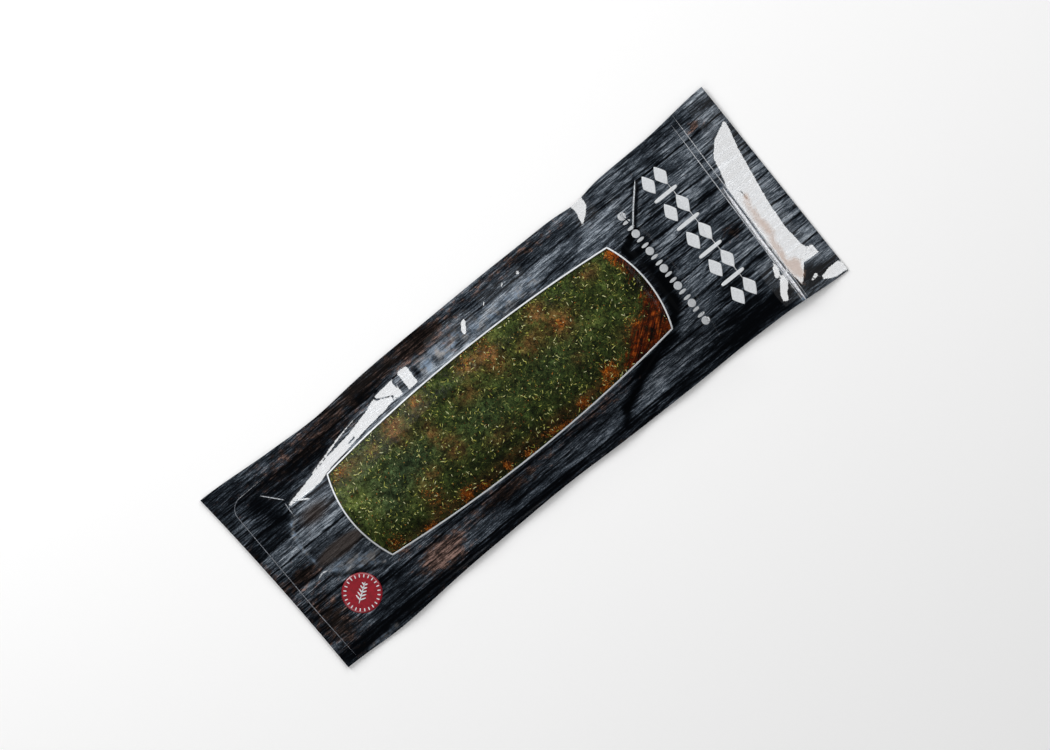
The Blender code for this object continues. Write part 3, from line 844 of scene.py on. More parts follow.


# The crust: orange spice, brown dust, fresh green, teal that is partly a painted reflection haze, and painted
# shade, each x, y, half length, half width, amount
SPICE_BLOBS = in_metres((
    (-119, 26.5, 5, 4, 0.42), (-120, -26.5, 6, 4.6, 0.56), (-97.5, -32.5, 6, 2.2, 0.8),
    (-84.5, -22, 4, 11, 0.3), (-68, -31.2, 4, 4, 1.15), (-56, -33.7, 4, 2.6, 0.95),
    (-38, -33.5, 2.4, 3.8, 1.05), (-23, -35, 4, 2.4, 0.85), (-4, -34, 7, 2.6, 0.72),
    (20.5, -32.4, 3.6, 3.6, 1.1), (6, -35.8, 4.4, 1.8, 0.75), (45, -27.5, 5, 5.4, 1.25),
    (37, -33, 3.4, 2.6, 0.85), (40, 13, 3.4, 3.4, 0.66), (-77, 29, 4.6, 6, 0.3), (-57, 33, 3.4, 3, 0.42),
    (-19, 31, 4, 4.4, 0.34), (-6, 27, 4.4, 9, 0.36), (32, 28, 4, 5, 0.26), (88, 26.5, 3, 5.5, 0.72),
    (88.8, 15, 2, 4.5, 0.5), (75.5, -14, 4.8, 3, 0.56),
), kept=1)
DUST_BLOBS = in_metres((
    (-77, 26.5, 7, 9, 1.0), (-58, 30, 6, 6, 0.7), (-61, 11, 4, 8, 0.75), (-56, -4, 6, 7, 0.85),
    (-76, -8, 5, 3.6, 0.7), (-95, 25, 5, 4, 0.6), (-115, 26, 10, 5, 0.62), (-20, 29, 7, 6, 0.85),
    (-5, 25, 7, 11, 1.0), (-30, 15, 8, 5, 0.6), (32, 27, 7, 7, 0.85), (18, 15, 8, 7, 0.65),
    (40, 14, 9, 8, 0.95), (71, 26, 7, 5, 0.6), (35, -10, 5, 4, 0.45), (-30, -16, 9, 5, 0.45),
    (-84, -20, 6, 12, 0.55), (-60, -31, 70, 3.6, 0.55), (20, -31, 40, 3.6, 0.55), (70, -18, 10, 6, 0.5),
), kept=1)
LEAF_BLOBS = in_metres((
    (-121.5, 12, 7, 7.5, 1.0), (-119, -5, 9, 16, 0.55), (-106, 12, 14, 12, 0.25), (56, 1, 6, 4, 0.8),
    (77, -8, 5.5, 4.5, 0.75), (78, 12, 6, 5, 0.4), (-45, 33, 8, 4, 0.35), (10, 33, 9, 3, 0.35),
    (-90, -13, 12, 6, 0.3),
), kept=1)
# Teal of the herbs, in part a painted bluish reflection haze on the clear film
TEAL_AND_REFLECTION_BLOBS = in_metres((
    (-86, 6, 24, 13, 1.0), (-108, -4, 13, 14, 0.7), (-112, 8, 14, 14, 0.5), (-30, -1, 18, 13, 0.5),
    (20, -2, 26, 11, 0.35),
), kept=1)
SHADE_BLOBS = in_metres((
    (-35, -23, 60, 6, 0.5), (-20, -34.5, 110, 5.5, 0.8), (-30, -30.2, 75, 3.4, 0.3), (80, -14.5, 10, 9, 0.22),
    (40, -19, 30, 7, 0.5), (92.5, 1, 7, 9, 0.78), (94.8, 16.5, 2.4, 5, 0.6), (93.5, 10.5, 5.5, 7, 0.45),
    (94, -29, 5, 8, 0.35), (96, -15, 6, 14, 0.55), (78, -24, 16, 10, 0.3), (85, 4, 6, 10, 0.4),
    (72, -5, 8, 6, 0.3), (-115, -26, 12, 5, 0.34), (15, 6, 20, 5, 0.22), (-70, -13, 15, 5, 0.22),
), kept=1)
# Where the crust is off the flesh
FLESH_SHAPES = outlines(
    (
        (51.8, -38), (51.8, -30.5), (55, -27), (62.6, -21.6), (68, -16.2), (72.4, -11.4), (77.8, -14.1),
        (83.2, -9.8), (88.6, -2.1), (92.9, 3.3), (98.5, 6), (100, 0), (100, -38),
    ),
    ((85.9, 33), (85.3, 21.6), (88, 14), (88.6, 7.5), (91.3, 4.3), (99, 8), (99, 33)),
)


# The field of flesh for each metre inside those outlines
FLESH_GAIN = 100.0


def crust_fields(x, y):
    """What is at each place: blobs of each kind up to a most, teal partly a painted haze and painted shade
    among them, and the way into flesh.
    """
    fields = {
        name: np.clip(blob_field(x, y, blobs), 0.0, most)
        for name, blobs, most in (
            ("spice", SPICE_BLOBS, 1.2), ("dust", DUST_BLOBS, 1.0), ("leaf", LEAF_BLOBS, 1.0),
            ("teal", TEAL_AND_REFLECTION_BLOBS, 1.0), ("shade", SHADE_BLOBS, 0.95),
        )
    }
    return {**fields, "flesh": FLESH_GAIN * within(x, y, FLESH_SHAPES)}


# The crust's depth under the film, its grain, and that grain's noises: amount, cell, seed
CRUST_DEPTH = 0.0011
CRUST_GRAIN = 0.00028
CRUST_ROUGHNESS = ((1.2, 0.0046, 3), (1.0, 0.0021, 4), (0.7, 0.0011, 5))
FLESH_SLANT = math.radians(-38.0)

# What is strewn: its seed, how many places are tried for each kept, and its clearance under the film
STREW_SEED = 21
TRIES = 12
STREWN_CLEARANCE = 0.00032

# The strewn kinds: the range of their thickness or size, how high they lie on the crust, and their ramps
THREAD_ACROSS = (0.00022, 0.00040)
THREAD_LIFT = (-0.0001, 0.0003)
THREAD_COLOURS = (0.0, 4, 7, 1), (0.3, 28, 37, 11), (0.6, 90, 96, 40), (1.0, 212, 210, 112)
STEM_ACROSS = (0.00036, 0.00056)
STEM_LIFT = (0.00045,)
STEM_COLOURS = (0.0, 132, 138, 48), (0.4, 222, 222, 106), (1.0, 255, 255, 200)
CRUMB_SIZE = (0.00035, 0.0011)
CRUMB_LIFT = (0.0, 0.0003)
CRUMB_COLOURS = (0.0, 62, 28, 6), (0.5, 150, 78, 24), (1.0, 226, 150, 72)
PEPPER_SIZE = (0.0005, 0.0014)
PEPPER_LIFT = (0.00030,)
PEPPER_COLOURS = (0.0, 6, 5, 4), (0.7, 30, 22, 14), (1.0, 92, 70, 44)

# Steps for slopes by differences, and the meshes' counts of points along and across, or round and in rings
GLOSS_STEP = 0.0004
CRUST_STEP = 0.0008
FILM_COUNTS = (236, 92, 236, 92)
FILM_RINGS = 63
BACK_COUNTS = (190, 76)
PANE_COUNTS = (200, 72)
OUTLINE_COUNTS = (230, 80, 230, 80)
CRUST_COUNTS = (330, 128)

# The crust's reach in shares of its foot, the fish's least clearance and thickness, and the pane's cling
CRUST_REACH = (0.982, 0.935)
BELLY_CLEARANCE = 0.00075
LEAST_FLESH = 0.0002
PANE_CLING = 0.00010
PANE_ASPECT = 2.9
PANE_RIM = 0.04

# Lines on the film: their crown and lift, the share of their width at a tip, and how fast it grows from there
RIBBON_CROWN = 0.00010
SEAL_LIFT = 0.00014
TIP_SHARE = 0.15
TIP_GROWTH = 6.0

# The round corner of the tail's seal, in millimetres
ARC_MIDDLE = (-175.3, 44.6)
ARC_RADIUS = 8.4

# The ornaments' places and half sizes: the band, the row, and the round mark with its ring and sprig
BAND_X = 0.1378
BAND_REACH = (-0.0405, 0.0445)
BAND_COUNT = 9
BAR = (0.0084, 0.0012)
LOZENGE = (0.0040, 0.0066)
LOZENGE_ASIDE = 0.0046
ROW_X = 0.1088
ROW_REACH = 0.0400
ROW_COUNT = 19
SEED_LENGTH = 0.0026
SEED_WIDTH = 0.0010
MARK_MIDDLE = (-0.1541, -0.0373)
MARK_RADIUS = 0.0123
TICK_RING = 0.0103
TICK_COUNT = 24
TICK = (0.0010, 0.00035)
SPRIG_LEAN = math.radians(35.0)
STEM = (0.0068, 0.00035)
LEAFLET_PAIRS = 5
LEAFLET_WIDTH = 0.00042

# The floor, the white light on the pouch and behind it, and the camera
FLOOR_REACH = 3.0
FLOOR_COUNT = 13
LIGHT_ON_POUCH = 0.06
LIGHT_BEHIND = 0.95
SENSOR_WIDTH = 36.0


def hash_noise(x, y, cell, seed):
    """Smooth value noise: random numbers on a square lattice, blended by S curves between its corners."""
    rng = np.random.default_rng(seed)
    table = rng.random((256, 256))
    u, v = x / cell, y / cell
    i, j = np.floor(u).astype(int), np.floor(v).astype(int)
    fu, fv = smooth_step(u - i), smooth_step(v - j)
    a, b = table[i % 256, j % 256], table[(i + 1) % 256, j % 256]
    c, d = table[i % 256, (j + 1) % 256], table[(i + 1) % 256, (j + 1) % 256]
    return (a * (1 - fu) + b * fu) * (1 - fv) + (c * (1 - fu) + d * fu) * fv


def crust_top(x, y):
    """The crust's surface: a depth under the film, grown rough by value noise of three sizes."""
    rough = sum(amount * (hash_noise(x, y, cell, seed) - 0.5) for amount, cell, seed in CRUST_ROUGHNESS)
    return smooth_film(x, y) + np.minimum(folds(x, y), 0.0) - CRUST_DEPTH + CRUST_GRAIN * rough


def lattice_points(a, b):
    """Points over the fillet: a along from -1 at its tail foot to 1 at its cut foot, b across likewise."""
    a, b = a[:, None], b[None, :]
    tail, cut = TAIL_FOOT + TAIL_BOW * b**2, CUT_FOOT - CUT_BOW * b**2
    x = tail + (cut - tail) * (a + 1.0) / 2.0
    middle, half = fillet_middle(x)
    return np.stack([x, middle + half * b], -1)


def herb_tints_and_shade(nodes, colour, light):
    """A herb colour as the fields change it: to teal (partly a painted reflection haze), fresh green and
    brown dust, in clumps, and darkened by painted shade.
    """
    # Teal, in part a painted reflection haze
    colour = nodes.mix(nodes.field("teal") * 0.8, colour, (0.98, 1.08, 2.20), "MULTIPLY")
    fresh = nodes.ramp(light, (0.30, 40, 50, 16), (0.52, 102, 116, 56), (0.72, 178, 186, 112))
    colour = nodes.mix(nodes.field("leaf") * 0.85, colour, fresh)
    dusty = nodes.span(nodes.noise(240.0, 5.0, 0.75), 0.40, 0.58, 0.25, 1.15)
    dusty = nodes.math("MULTIPLY", nodes.field("dust"), dusty, clamp=True)
    brown = nodes.ramp(light, (0.30, 56, 32, 12), (0.52, 138, 96, 54), (0.72, 206, 152, 98))
    colour = nodes.mix(dusty * 0.88, colour, brown)
    clumps = nodes.span(nodes.noise(130.0, 5.0, 0.7), 0.34, 0.66, 0.46, 1.50)
    return nodes.times(colour, (1.0 - nodes.field("shade") * 0.82) * clumps)


def crust_material(crust):
    """The crust's ground: mottled greens, orange spice by its field, and flesh with slanting streaks."""
    nodes = Nodes("herb crust")
    shade = nodes.field("shade")
    light = nodes.noise(330.0, 6.0, 0.75) * 0.6 + nodes.noise(1500.0, 3.0, 0.7) * 0.4
    torn = (light - 0.5) * 3.0
    dark, pale = (tuple(share * value for value in crust.dill) for share in (0.08, 2.4))
    ground = herb_tints_and_shade(nodes, nodes.ramp(light, (0.38, dark), (0.50, crust.dill), (0.62, pale)), light)
    spice = nodes.ramp(light, (0.38, 34, 11, 0), (0.50, 148, 66, 6), (0.62, 242, 136, 38))
    spice = nodes.times(spice, 1.0 - shade * 0.42)

    slant = {"Vector": nodes.place(), "Angle": FLESH_SLANT}
    along = nodes.add("ShaderNodeVectorRotate", slant, rotation_type="Z_AXIS")
    streak = nodes.add("ShaderNodeMapping", {"Vector": along, "Scale": (75.0, 700.0, 1.0)})
    streak = nodes.noise(streak, 5.0, 0.7, 0.6)
    deep = tuple(0.10 * value for value in crust.flesh)
    flesh = nodes.ramp(streak, (0.40, deep), (0.52, crust.flesh), (0.70, 206, 104, 34))
    flesh = nodes.times(flesh, nodes.span(light, 0.36, 0.60, 0.35, 1.2))
    flesh = nodes.times(flesh, nodes.span(nodes.noise(170.0, 4.0, 0.65), 0.38, 0.64, 0.22, 1.75))
    flesh = nodes.times(flesh, 1.0 - shade * 0.85)

    bare = nodes.span(nodes.field("flesh") + torn * 0.70 + (streak - 0.5) * 2.4, 0.0, 0.30)
    spiced = nodes.span(nodes.field("spice") + torn, 0.30, 0.90)
    crusted = nodes.mix(spiced, nodes.mix(bare, ground, flesh), spice)
    rough = nodes.bump(light, 0.0009)
    return nodes.finish(base_color=crusted, roughness=0.7, specular_ior_level=0.05, normal=rough)


def strewn_material(name, stops, herb):
    """Herbs or grains: each has its own tint on a ramp and a fine mottle; herbs change as the crust does."""
    nodes = Nodes(name)
    tint = nodes.field("tint") + (nodes.noise(1800.0, 2.0) - 0.5) * 0.5
    colour = nodes.ramp(tint, *stops)
    if herb:
        colour = herb_tints_and_shade(nodes, colour, tint * 0.45 + 0.28)
    return nodes.finish(base_color=colour, roughness=0.7, specular_ior_level=0.08)


def strew(rng, count, likely):
    """Places inside the window, each kept with a chance that likely gives for its x and y."""
    x = WINDOW_MIDDLE + rng.uniform(-1.0, 1.0, TRIES * count) * (WINDOW_HALF_LENGTH + WINDOW_END_BULGE)
    y = rng.uniform(-1.0, 1.0, TRIES * count) * (WINDOW_HALF_WIDTH + WINDOW_SIDE_BULGE)
    across = y / WINDOW_HALF_WIDTH
    along = (x - WINDOW_MIDDLE) / WINDOW_HALF_LENGTH
    inside = (np.abs(y) < WINDOW_HALF_WIDTH + WINDOW_SIDE_BULGE * (1.0 - along**2)) & (
        np.abs(x - WINDOW_MIDDLE) < WINDOW_HALF_LENGTH + WINDOW_END_BULGE * (1.0 - across**2)
    )
    kept = inside & (rng.random(x.size) < likely(x, y))
    return x[kept][:count], y[kept][:count]


def joined_copies(name, template, places, sizes, turns, tilts, tints, lift, fields):
    """One mesh of many copies, each sized, tilted, turned about Z, sheared to the slope and moved."""
    corners, faces = template
    x, y = places
    local = corners[None] * sizes[:, None, :]
    up = local[..., 2] + local[..., 0] * tilts[:, None]
    cos, sin = np.cos(turns)[:, None], np.sin(turns)[:, None]
    px = local[..., 0] * cos - local[..., 1] * sin
    py = local[..., 0] * sin + local[..., 1] * cos
    slope_x, slope_y = slopes(smooth_film, x, y, CRUST_STEP)
    pz = (crust_top(x, y) + lift)[:, None] + up + px * slope_x[:, None] + py * slope_y[:, None]
    points = np.stack([x[:, None] + px, y[:, None] + py, pz], -1)
    ceiling = smooth_film(points[..., 0], points[..., 1]) - STREWN_CLEARANCE
    points[..., 2] = np.minimum(points[..., 2], ceiling)
    every = faces[None] + (np.arange(len(x)) * len(corners))[:, None, None]
    mesh = raw_mesh(name, points.reshape(-1, 3), every.reshape(-1, faces.shape[1]))
    values = {"tint": tints, **crust_fields(x, y)}
    for field in ("tint", *fields):
        add_field(mesh, field, np.repeat(values[field], len(corners)))
    return mesh


def thread_template(bend):
    """A closed three-sided thread with pointed ends, unit long and across, bowed sideways by bend."""
    third = 2.0 * math.pi / 3.0 * np.arange(3)
    ring = np.stack([np.zeros(3), 0.5 * np.cos(third), 0.5 * np.sin(third)], -1)
    tail, head = np.array([[-0.5, -bend, 0.0]]), np.array([[0.5, -bend, 0.0]])
    points = np.concatenate([tail, ring + (-0.2, 0.0, 0.0), ring + (0.2, 0.0, 0.0), head])
    faces = []
    for k, n in ((0, 1), (1, 2), (2, 0)):
        faces += [(0, 1 + n, 1 + k), (7, 4 + k, 4 + n), (1 + k, 1 + n, 4 + n), (1 + k, 4 + n, 4 + k)]
    return points, np.array(faces)


def grain_template():
    """A closed eight-sided grain: an octahedron of unit size."""
    points = 0.5 * np.array([(1, 0, 0), (-1, 0, 0), (0, 1, 0), (0, -1, 0), (0, 0, 1), (0, 0, -1)])
    faces = [(0, 2, 4), (2, 1, 4), (1, 3, 4), (3, 0, 4), (2, 0, 5), (1, 2, 5), (3, 1, 5), (0, 3, 5)]
    return points, np.array(faces)


def ribbon(name, path, width, thickness, lift, closed):
    """A thin strip on the film along a path of (x, y): its cross-section is a low rounded bar.

    Each path point is set out along the path's normal by five shares of the width, and stands lift over the
    film and thickness higher along its middle.
    """
    ahead = np.roll(path, -1, axis=0) if closed else np.concatenate([path[1:], path[-1:]])
    behind = np.roll(path, 1, axis=0) if closed else np.concatenate([path[:1], path[:-1]])
    tangent = ahead - behind
    tangent /= np.linalg.norm(tangent, axis=1, keepdims=True)
    normal = np.stack([tangent[:, 1], -tangent[:, 0]], -1)
    shares = np.array([0.5, 0.3, 0.0, -0.3, -0.5])
    crown = np.array([0.0, 0.8, 1.0, 0.8, 0.0])
    width = np.broadcast_to(width, (len(path),))
    plan = path[:, None] + normal[:, None] * shares[None, :, None] * width[:, None, None]
    surface = printed_top(plan[..., 0], plan[..., 1])
    return closed_sheet(name, plan, surface + lift + thickness * crown, surface - lift, ring=closed)


def path_points(corners, step=0.0008):
    """Points a step apart along straight runs between corners."""
    corners = np.array(corners)
    lengths = np.linalg.norm(np.diff(corners, axis=0), axis=1)
    reach = np.concatenate([[0.0], np.cumsum(lengths)])
    along = np.linspace(0.0, reach[-1], max(int(reach[-1] / step), 4))
    return np.stack([np.interp(along, reach, corners[:, 0]), np.interp(along, reach, corners[:, 1])], -1)


def joined_decals(name, outlines, lift):
    """One mesh of many thin plates, each filled by rings that shrink to its outline's middle."""
    points, faces, start = [], [], 0
    shares = np.linspace(1.0, 0.02, 9)[None, :, None]
    for outline in outlines:
        centre = outline.mean(axis=0)
        rings = centre + (outline[:, None] - centre) * shares
        flat = np.concatenate([rings.reshape(-1, 2), centre[None]])
        surface = printed_top(flat[:, 0], flat[:, 1])
        points += [np.column_stack([flat, surface + lift]), np.column_stack([flat, surface - lift])]
        n, m = rings.shape[:2]
        above = start + np.arange(n * m).reshape(n, m)
        below = above + len(flat)
        high_hub, low_hub = np.full(n, start + n * m), np.full(n, start + n * m + len(flat))
        after = np.roll(np.arange(n), -1)
        faces += [
            quads(above, True),
            quads(below, True)[:, ::-1],
            np.stack([above[:, 0], below[:, 0], below[after, 0], above[after, 0]], -1),
            np.stack([above[:, -1], above[after, -1], high_hub, high_hub], -1),
            np.stack([below[after, -1], below[:, -1], low_hub, low_hub], -1),
        ]
        start += 2 * len(flat)
    return raw_mesh(name, np.concatenate(points), as_triangles(np.concatenate(faces)))


def as_triangles(group):
    """Four-cornered faces as triangles, leaving out those that have closed to a line."""
    both = np.concatenate([group[:, [0, 1, 2]], group[:, [0, 2, 3]]])
    return both[(both[:, 0] != both[:, 1]) & (both[:, 1] != both[:, 2]) & (both[:, 2] != both[:, 0])]


def superellipse(centre, half, power, turn=0.0, count=40):
    """An outline whose coordinates' powers sum to 1: 1 is a lozenge, 2 an ellipse and more a rounded box."""
    angle = 2.0 * math.pi * np.arange(count) / count
    cos, sin = np.cos(angle), np.sin(angle)
    x = half[0] * np.sign(cos) * np.abs(cos) ** (2.0 / power)
    y = half[1] * np.sign(sin) * np.abs(sin) ** (2.0 / power)
    turned = [x * math.cos(turn) - y * math.sin(turn), x * math.sin(turn) + y * math.cos(turn)]
    return np.stack([centre[0] + turned[0], centre[1] + turned[1]], -1)


def round_points(side, counts):
    """Points once round four sides, anticlockwise, with each side's count of them."""
    return np.concatenate([side(k, np.arange(count) / count) for k, count in enumerate(counts)])


def add_sheet_fields(mesh, fields):
    """Fields on a closed sheet, the same above and below."""
    for name, values in fields.items():
        add_field(mesh, name, np.tile(values.ravel(), 2))


class GRAVLAX_OT_film(bpy.types.Operator):
    """Makes the printed film with its window hole, and the back film under it"""

    bl_idname = "gravlax.film"
    bl_label = "Film"
    bl_options = {"REGISTER", "UNDO"}

    def execute(self, context):
        film = context.scene.gravlax_film
        inner, outer = (round_points(side, FILM_COUNTS) for side in (window_side, footprint_side))
        plan = inner[:, None] + (outer - inner)[:, None] * np.linspace(1.0, 0.0, FILM_RINGS)[None, :, None]
        x, y = plan[..., 0], plan[..., 1]
        top = printed_top(x, y)
        mesh = closed_sheet("printed_film", plan, top, top - film.thickness, ring=True)
        add_sheet_fields(mesh, {
            # The print's tone with painted shade on shaded slopes and along folds
            "tone": 0.50 + blob_field(x, y, TONE_AND_SHADE_BLOBS) + stroke_field(x, y, FOLD_SHADE_STROKES),
            "brown": blob_field(x, y, BROWN_BLOBS),
            "plain": blob_field(x, y, PLAIN_BLOBS),
            "painted_sheen": stroke_field(x, y, PAINTED_SHEEN_STROKES),
            "painted_reflection": within(x, y, PAINTED_REFLECTION_SHAPES),
            "gloss": gloss_field(x, y),
        })
        facing = gloss_facing(x, y).reshape(-1, 3)
        facing = np.concatenate([facing, -facing]).astype(np.float32)
        mesh.attributes.new("facing", "FLOAT_VECTOR", "POINT").data.foreach_set("vector", facing.ravel())
        add_piece("printed_film", mesh, plank_print(film), "printed_film", "pouch")

        s, t = (np.linspace(0.0, 1.0, count) for count in BACK_COUNTS)
        plan = patch_points(footprint_side, s, t)
        under = under_film(plan[..., 0], plan[..., 1])
        mesh = closed_sheet("back_film", plan, under + film.thickness, under)
        add_piece("back_film", mesh, back_print(), "printed_film", "pouch")
        return {"FINISHED"}


class GRAVLAX_OT_window(bpy.types.Operator):
    """Makes the clear pane drawn tight over the crust, and the printed line round it"""

    bl_idname = "gravlax.window"
    bl_label = "Window"
    bl_options = {"REGISTER", "UNDO"}

    def execute(self, context):
        film = context.scene.gravlax_film
        s, t = (np.linspace(0.0, 1.0, count) for count in PANE_COUNTS)
        plan = patch_points(window_side, s, t)
        x, y = plan[..., 0], plan[..., 1]
        edge = np.minimum(np.minimum(s, 1.0 - s)[:, None] * PANE_ASPECT, np.minimum(t, 1.0 - t)[None, :])
        cling = PANE_CLING * (hash_noise(x, y, 0.0040, 8) - 0.5) * smooth_step(edge / PANE_RIM)
        top = printed_top(x, y) + cling
        mesh = closed_sheet("clear_pane", plan, top, top - film.pane_thickness)
        add_piece("clear_pane", mesh, clear_film(), "clear_film", "window")

        path = round_points(window_side, OUTLINE_COUNTS)
        mesh = ribbon("window_outline", path, film.outline_width, RIBBON_CROWN, film.print_height, True)
        add_piece("window_outline", mesh, pale_ink(film, "outline ink"), "printed_film")
        return {"FINISHED"}


class GRAVLAX_OT_fillet(bpy.types.Operator):
    """Makes the salmon with its rough crust"""

    bl_idname = "gravlax.fillet"
    bl_label = "Fillet"
    bl_options = {"REGISTER", "UNDO"}

    def execute(self, context):
        along, across = (np.linspace(-reach, reach, count) for reach, count in zip(CRUST_REACH, CRUST_COUNTS))
        plan = lattice_points(along, across)
        x, y = plan[..., 0], plan[..., 1]
        bottom = under_film(x, y) + BELLY_CLEARANCE
        top = np.maximum(crust_top(x, y), bottom + LEAST_FLESH)
        mesh = closed_sheet("salmon_crust", plan, top, bottom)
        add_sheet_fields(mesh, crust_fields(x, y))
        add_piece("salmon_crust", mesh, crust_material(context.scene.gravlax_crust), "crusted_fish", "fillet")
        return {"FINISHED"}


class GRAVLAX_OT_herbs(bpy.types.Operator):
    """Strews dill, stems, spice and pepper on the crust"""

    bl_idname = "gravlax.herbs"
    bl_label = "Herbs"
    bl_options = {"REGISTER", "UNDO"}

    def execute(self, context):
        crust = context.scene.gravlax_crust
        rng = np.random.default_rng(STREW_SEED)

        def bare(x, y):
            """How bare the flesh is: an S of its field and patchy noise."""
            return smooth_step(1.8 * crust_fields(x, y)["flesh"] + 1.2 * hash_noise(x, y, 0.0030, 14) - 0.5)

        def spiced(x, y):
            """The spice blobs' sum, held to 0 to 1."""
            return np.clip(blob_field(x, y, SPICE_BLOBS), 0.0, 1.0)

        def leafy(x, y):
            """1 less shares of bareness and, where it isn't bare, of spice."""
            return 1.0 - 0.90 * bare(x, y) - 0.60 * spiced(x, y) * (1 - bare(x, y))

        def patchy(x, y):
            """Less where it is bare, times a share of noise between patches."""
            return (1.0 - 0.80 * bare(x, y)) * (0.55 + 0.9 * smooth_step(hash_noise(x, y, 0.009, 12) - 0.1))

        def add_kind(name, material, template, places, sizes, tilt, lift, stops, tints=None, fields=()):
            """Draws turns, tilts, tints and lifts in that order, each where the kind doesn't hold it."""
            n = len(sizes)
            turns = rng.uniform(0.0, 2.0 * math.pi, n)
            tilts = rng.normal(0.0, tilt, n) if tilt else np.zeros(n)
            tints = rng.random(n) if tints is None else tints
            lifts = rng.uniform(*lift, n) if len(lift) == 2 else np.full(n, *lift)
            mesh = joined_copies(name, template, places, sizes, turns, tilts, tints, lifts, fields)
            add_piece(name, mesh, strewn_material(material, stops, bool(fields)), "crusted_fish")

        x, y = strew(rng, crust.threads, leafy)
        length = crust.thread_length * rng.uniform(0.35, 1.6, len(x))
        across = rng.uniform(*THREAD_ACROSS, len(x))
        tints = rng.beta(1.5, 2.6, len(x)) * 0.95 + 0.30 * (hash_noise(x, y, 0.0032, 11) - 0.5)
        sizes = np.stack([length, across, across], -1)
        kind = "dill_threads", "dill", thread_template(0.9)
        fields = "dust", "leaf", "teal", "shade"
        add_kind(*kind, (x, y), sizes, 0.08, THREAD_LIFT, THREAD_COLOURS, tints, fields)

        x, y = strew(rng, crust.stems, patchy)
        length = crust.stem_length * (0.28 + 1.5 * rng.beta(1.1, 2.4, len(x)))
        across = rng.uniform(*STEM_ACROSS, len(x))
        sizes = np.stack([length, across, across * 0.7], -1)
        kind = "dill_stems", "pale stem", thread_template(0.2)
        add_kind(*kind, (x, y), sizes, 0.05, STEM_LIFT, STEM_COLOURS)

        x, y = strew(rng, crust.spice, lambda x, y: 0.012 + 0.9 * spiced(x, y) * (1.0 - 0.7 * bare(x, y)))
        sizes = rng.uniform(*CRUMB_SIZE, (len(x), 3)) * (1.0, 1.0, 0.6)
        kind = "spice_crumbs", "spice", grain_template()
        add_kind(*kind, (x, y), sizes, 0.1, CRUMB_LIFT, CRUMB_COLOURS)

        x, y = strew(rng, crust.pepper, lambda x, y: 1.0 - 0.5 * bare(x, y))
        sizes = rng.uniform(*PEPPER_SIZE, (len(x), 1)) * (1.0, 0.9, 0.8)
        kind = "pepper_grains", "pepper", grain_template()
        add_kind(*kind, (x, y), sizes, 0.0, PEPPER_LIFT, PEPPER_COLOURS)
        return {"FINISHED"}


class GRAVLAX_OT_seals(bpy.types.Operator):
    """Makes the pressed lines of the seals, and pale lines on the sharpest creases that are painted
    highlights
    """

    bl_idname = "gravlax.seals"
    bl_label = "Seals and Creases"
    bl_options = {"REGISTER", "UNDO"}

    def execute(self, context):
        # The pale finishes serve the seals' pressed lines, and on the creases they are painted highlights
        # along the ridges
        bright = seal_or_highlight_film("seal and highlight film", (100, 105, 112), (214, 218, 222))
        faint = seal_or_highlight_film("faint seal and highlight film", (40, 44, 50), (128, 133, 140))
        soft = seal_or_highlight_film("seal band and highlight film", (118, 120, 126), (232, 234, 240))
        white = seal_or_highlight_film("crease glint film", (190, 192, 196), (250, 251, 252))
        turns = math.pi / 2.0 * np.linspace(0.0, 1.0, 9)
        cx, cy = ARC_MIDDLE
        arc = [(cx - ARC_RADIUS * math.cos(turn), cy + ARC_RADIUS * math.sin(turn)) for turn in turns]
        # Each line's name, its corners and width in millimetres, and its finish
        lines = (
            ("tail_seal", [(-180.5, -64), (-182.2, -30), (-183.7, 44), *arc, (-156, 53.4)], 0.45, faint),
            ("cut_seal_inner", [(161.5, -69), (166.3, 64)], 0.50, bright),
            # The middle seal band is partly the seal's pale band and partly a painted highlight on it
            ("cut_seal_middle", [(163.3, -69.2), (164.8, -19.4), (166.7, 15)], 2.10, soft),
            ("cut_seal_outer", [(165.2, -69.8), (170.5, 69)], 0.50, bright),
            # The crease lines from here on are painted highlights along the ridges of the creases
            ("flap_crease", [(142, -40), (142.7, 44)], 0.34, white),
            ("shoulder_crease", [(129, 52.3), (118, 40.4), (108.8, 29.3)], 1.00, bright),
            ("tail_crease", [(-165, 46.3), (-155.2, 35.2)], 0.60, bright),
            ("tail_corner_crease", [(-156.2, 33.5), (-156.6, 25)], 0.75, faint),
            ("tail_glint_crease", [(-152, 31.8), (-147, 29), (-142.5, 26.2)], 1.20, bright),
            ("near_crease", [(-169, -14.5), (-165, -13.2), (-161.5, -14)], 0.90, bright),
        )
        for name, corners, width, finish in lines:
            path = path_points(MM * np.array(corners))
            inward = np.minimum(np.arange(len(path)), np.arange(len(path))[::-1]) / len(path)
            width = MM * width * np.minimum(1.0, TIP_SHARE + TIP_GROWTH * inward)
            mesh = ribbon(name, path, width, RIBBON_CROWN, SEAL_LIFT, False)
            add_piece(name, mesh, finish, "printed_film")
        return {"FINISHED"}


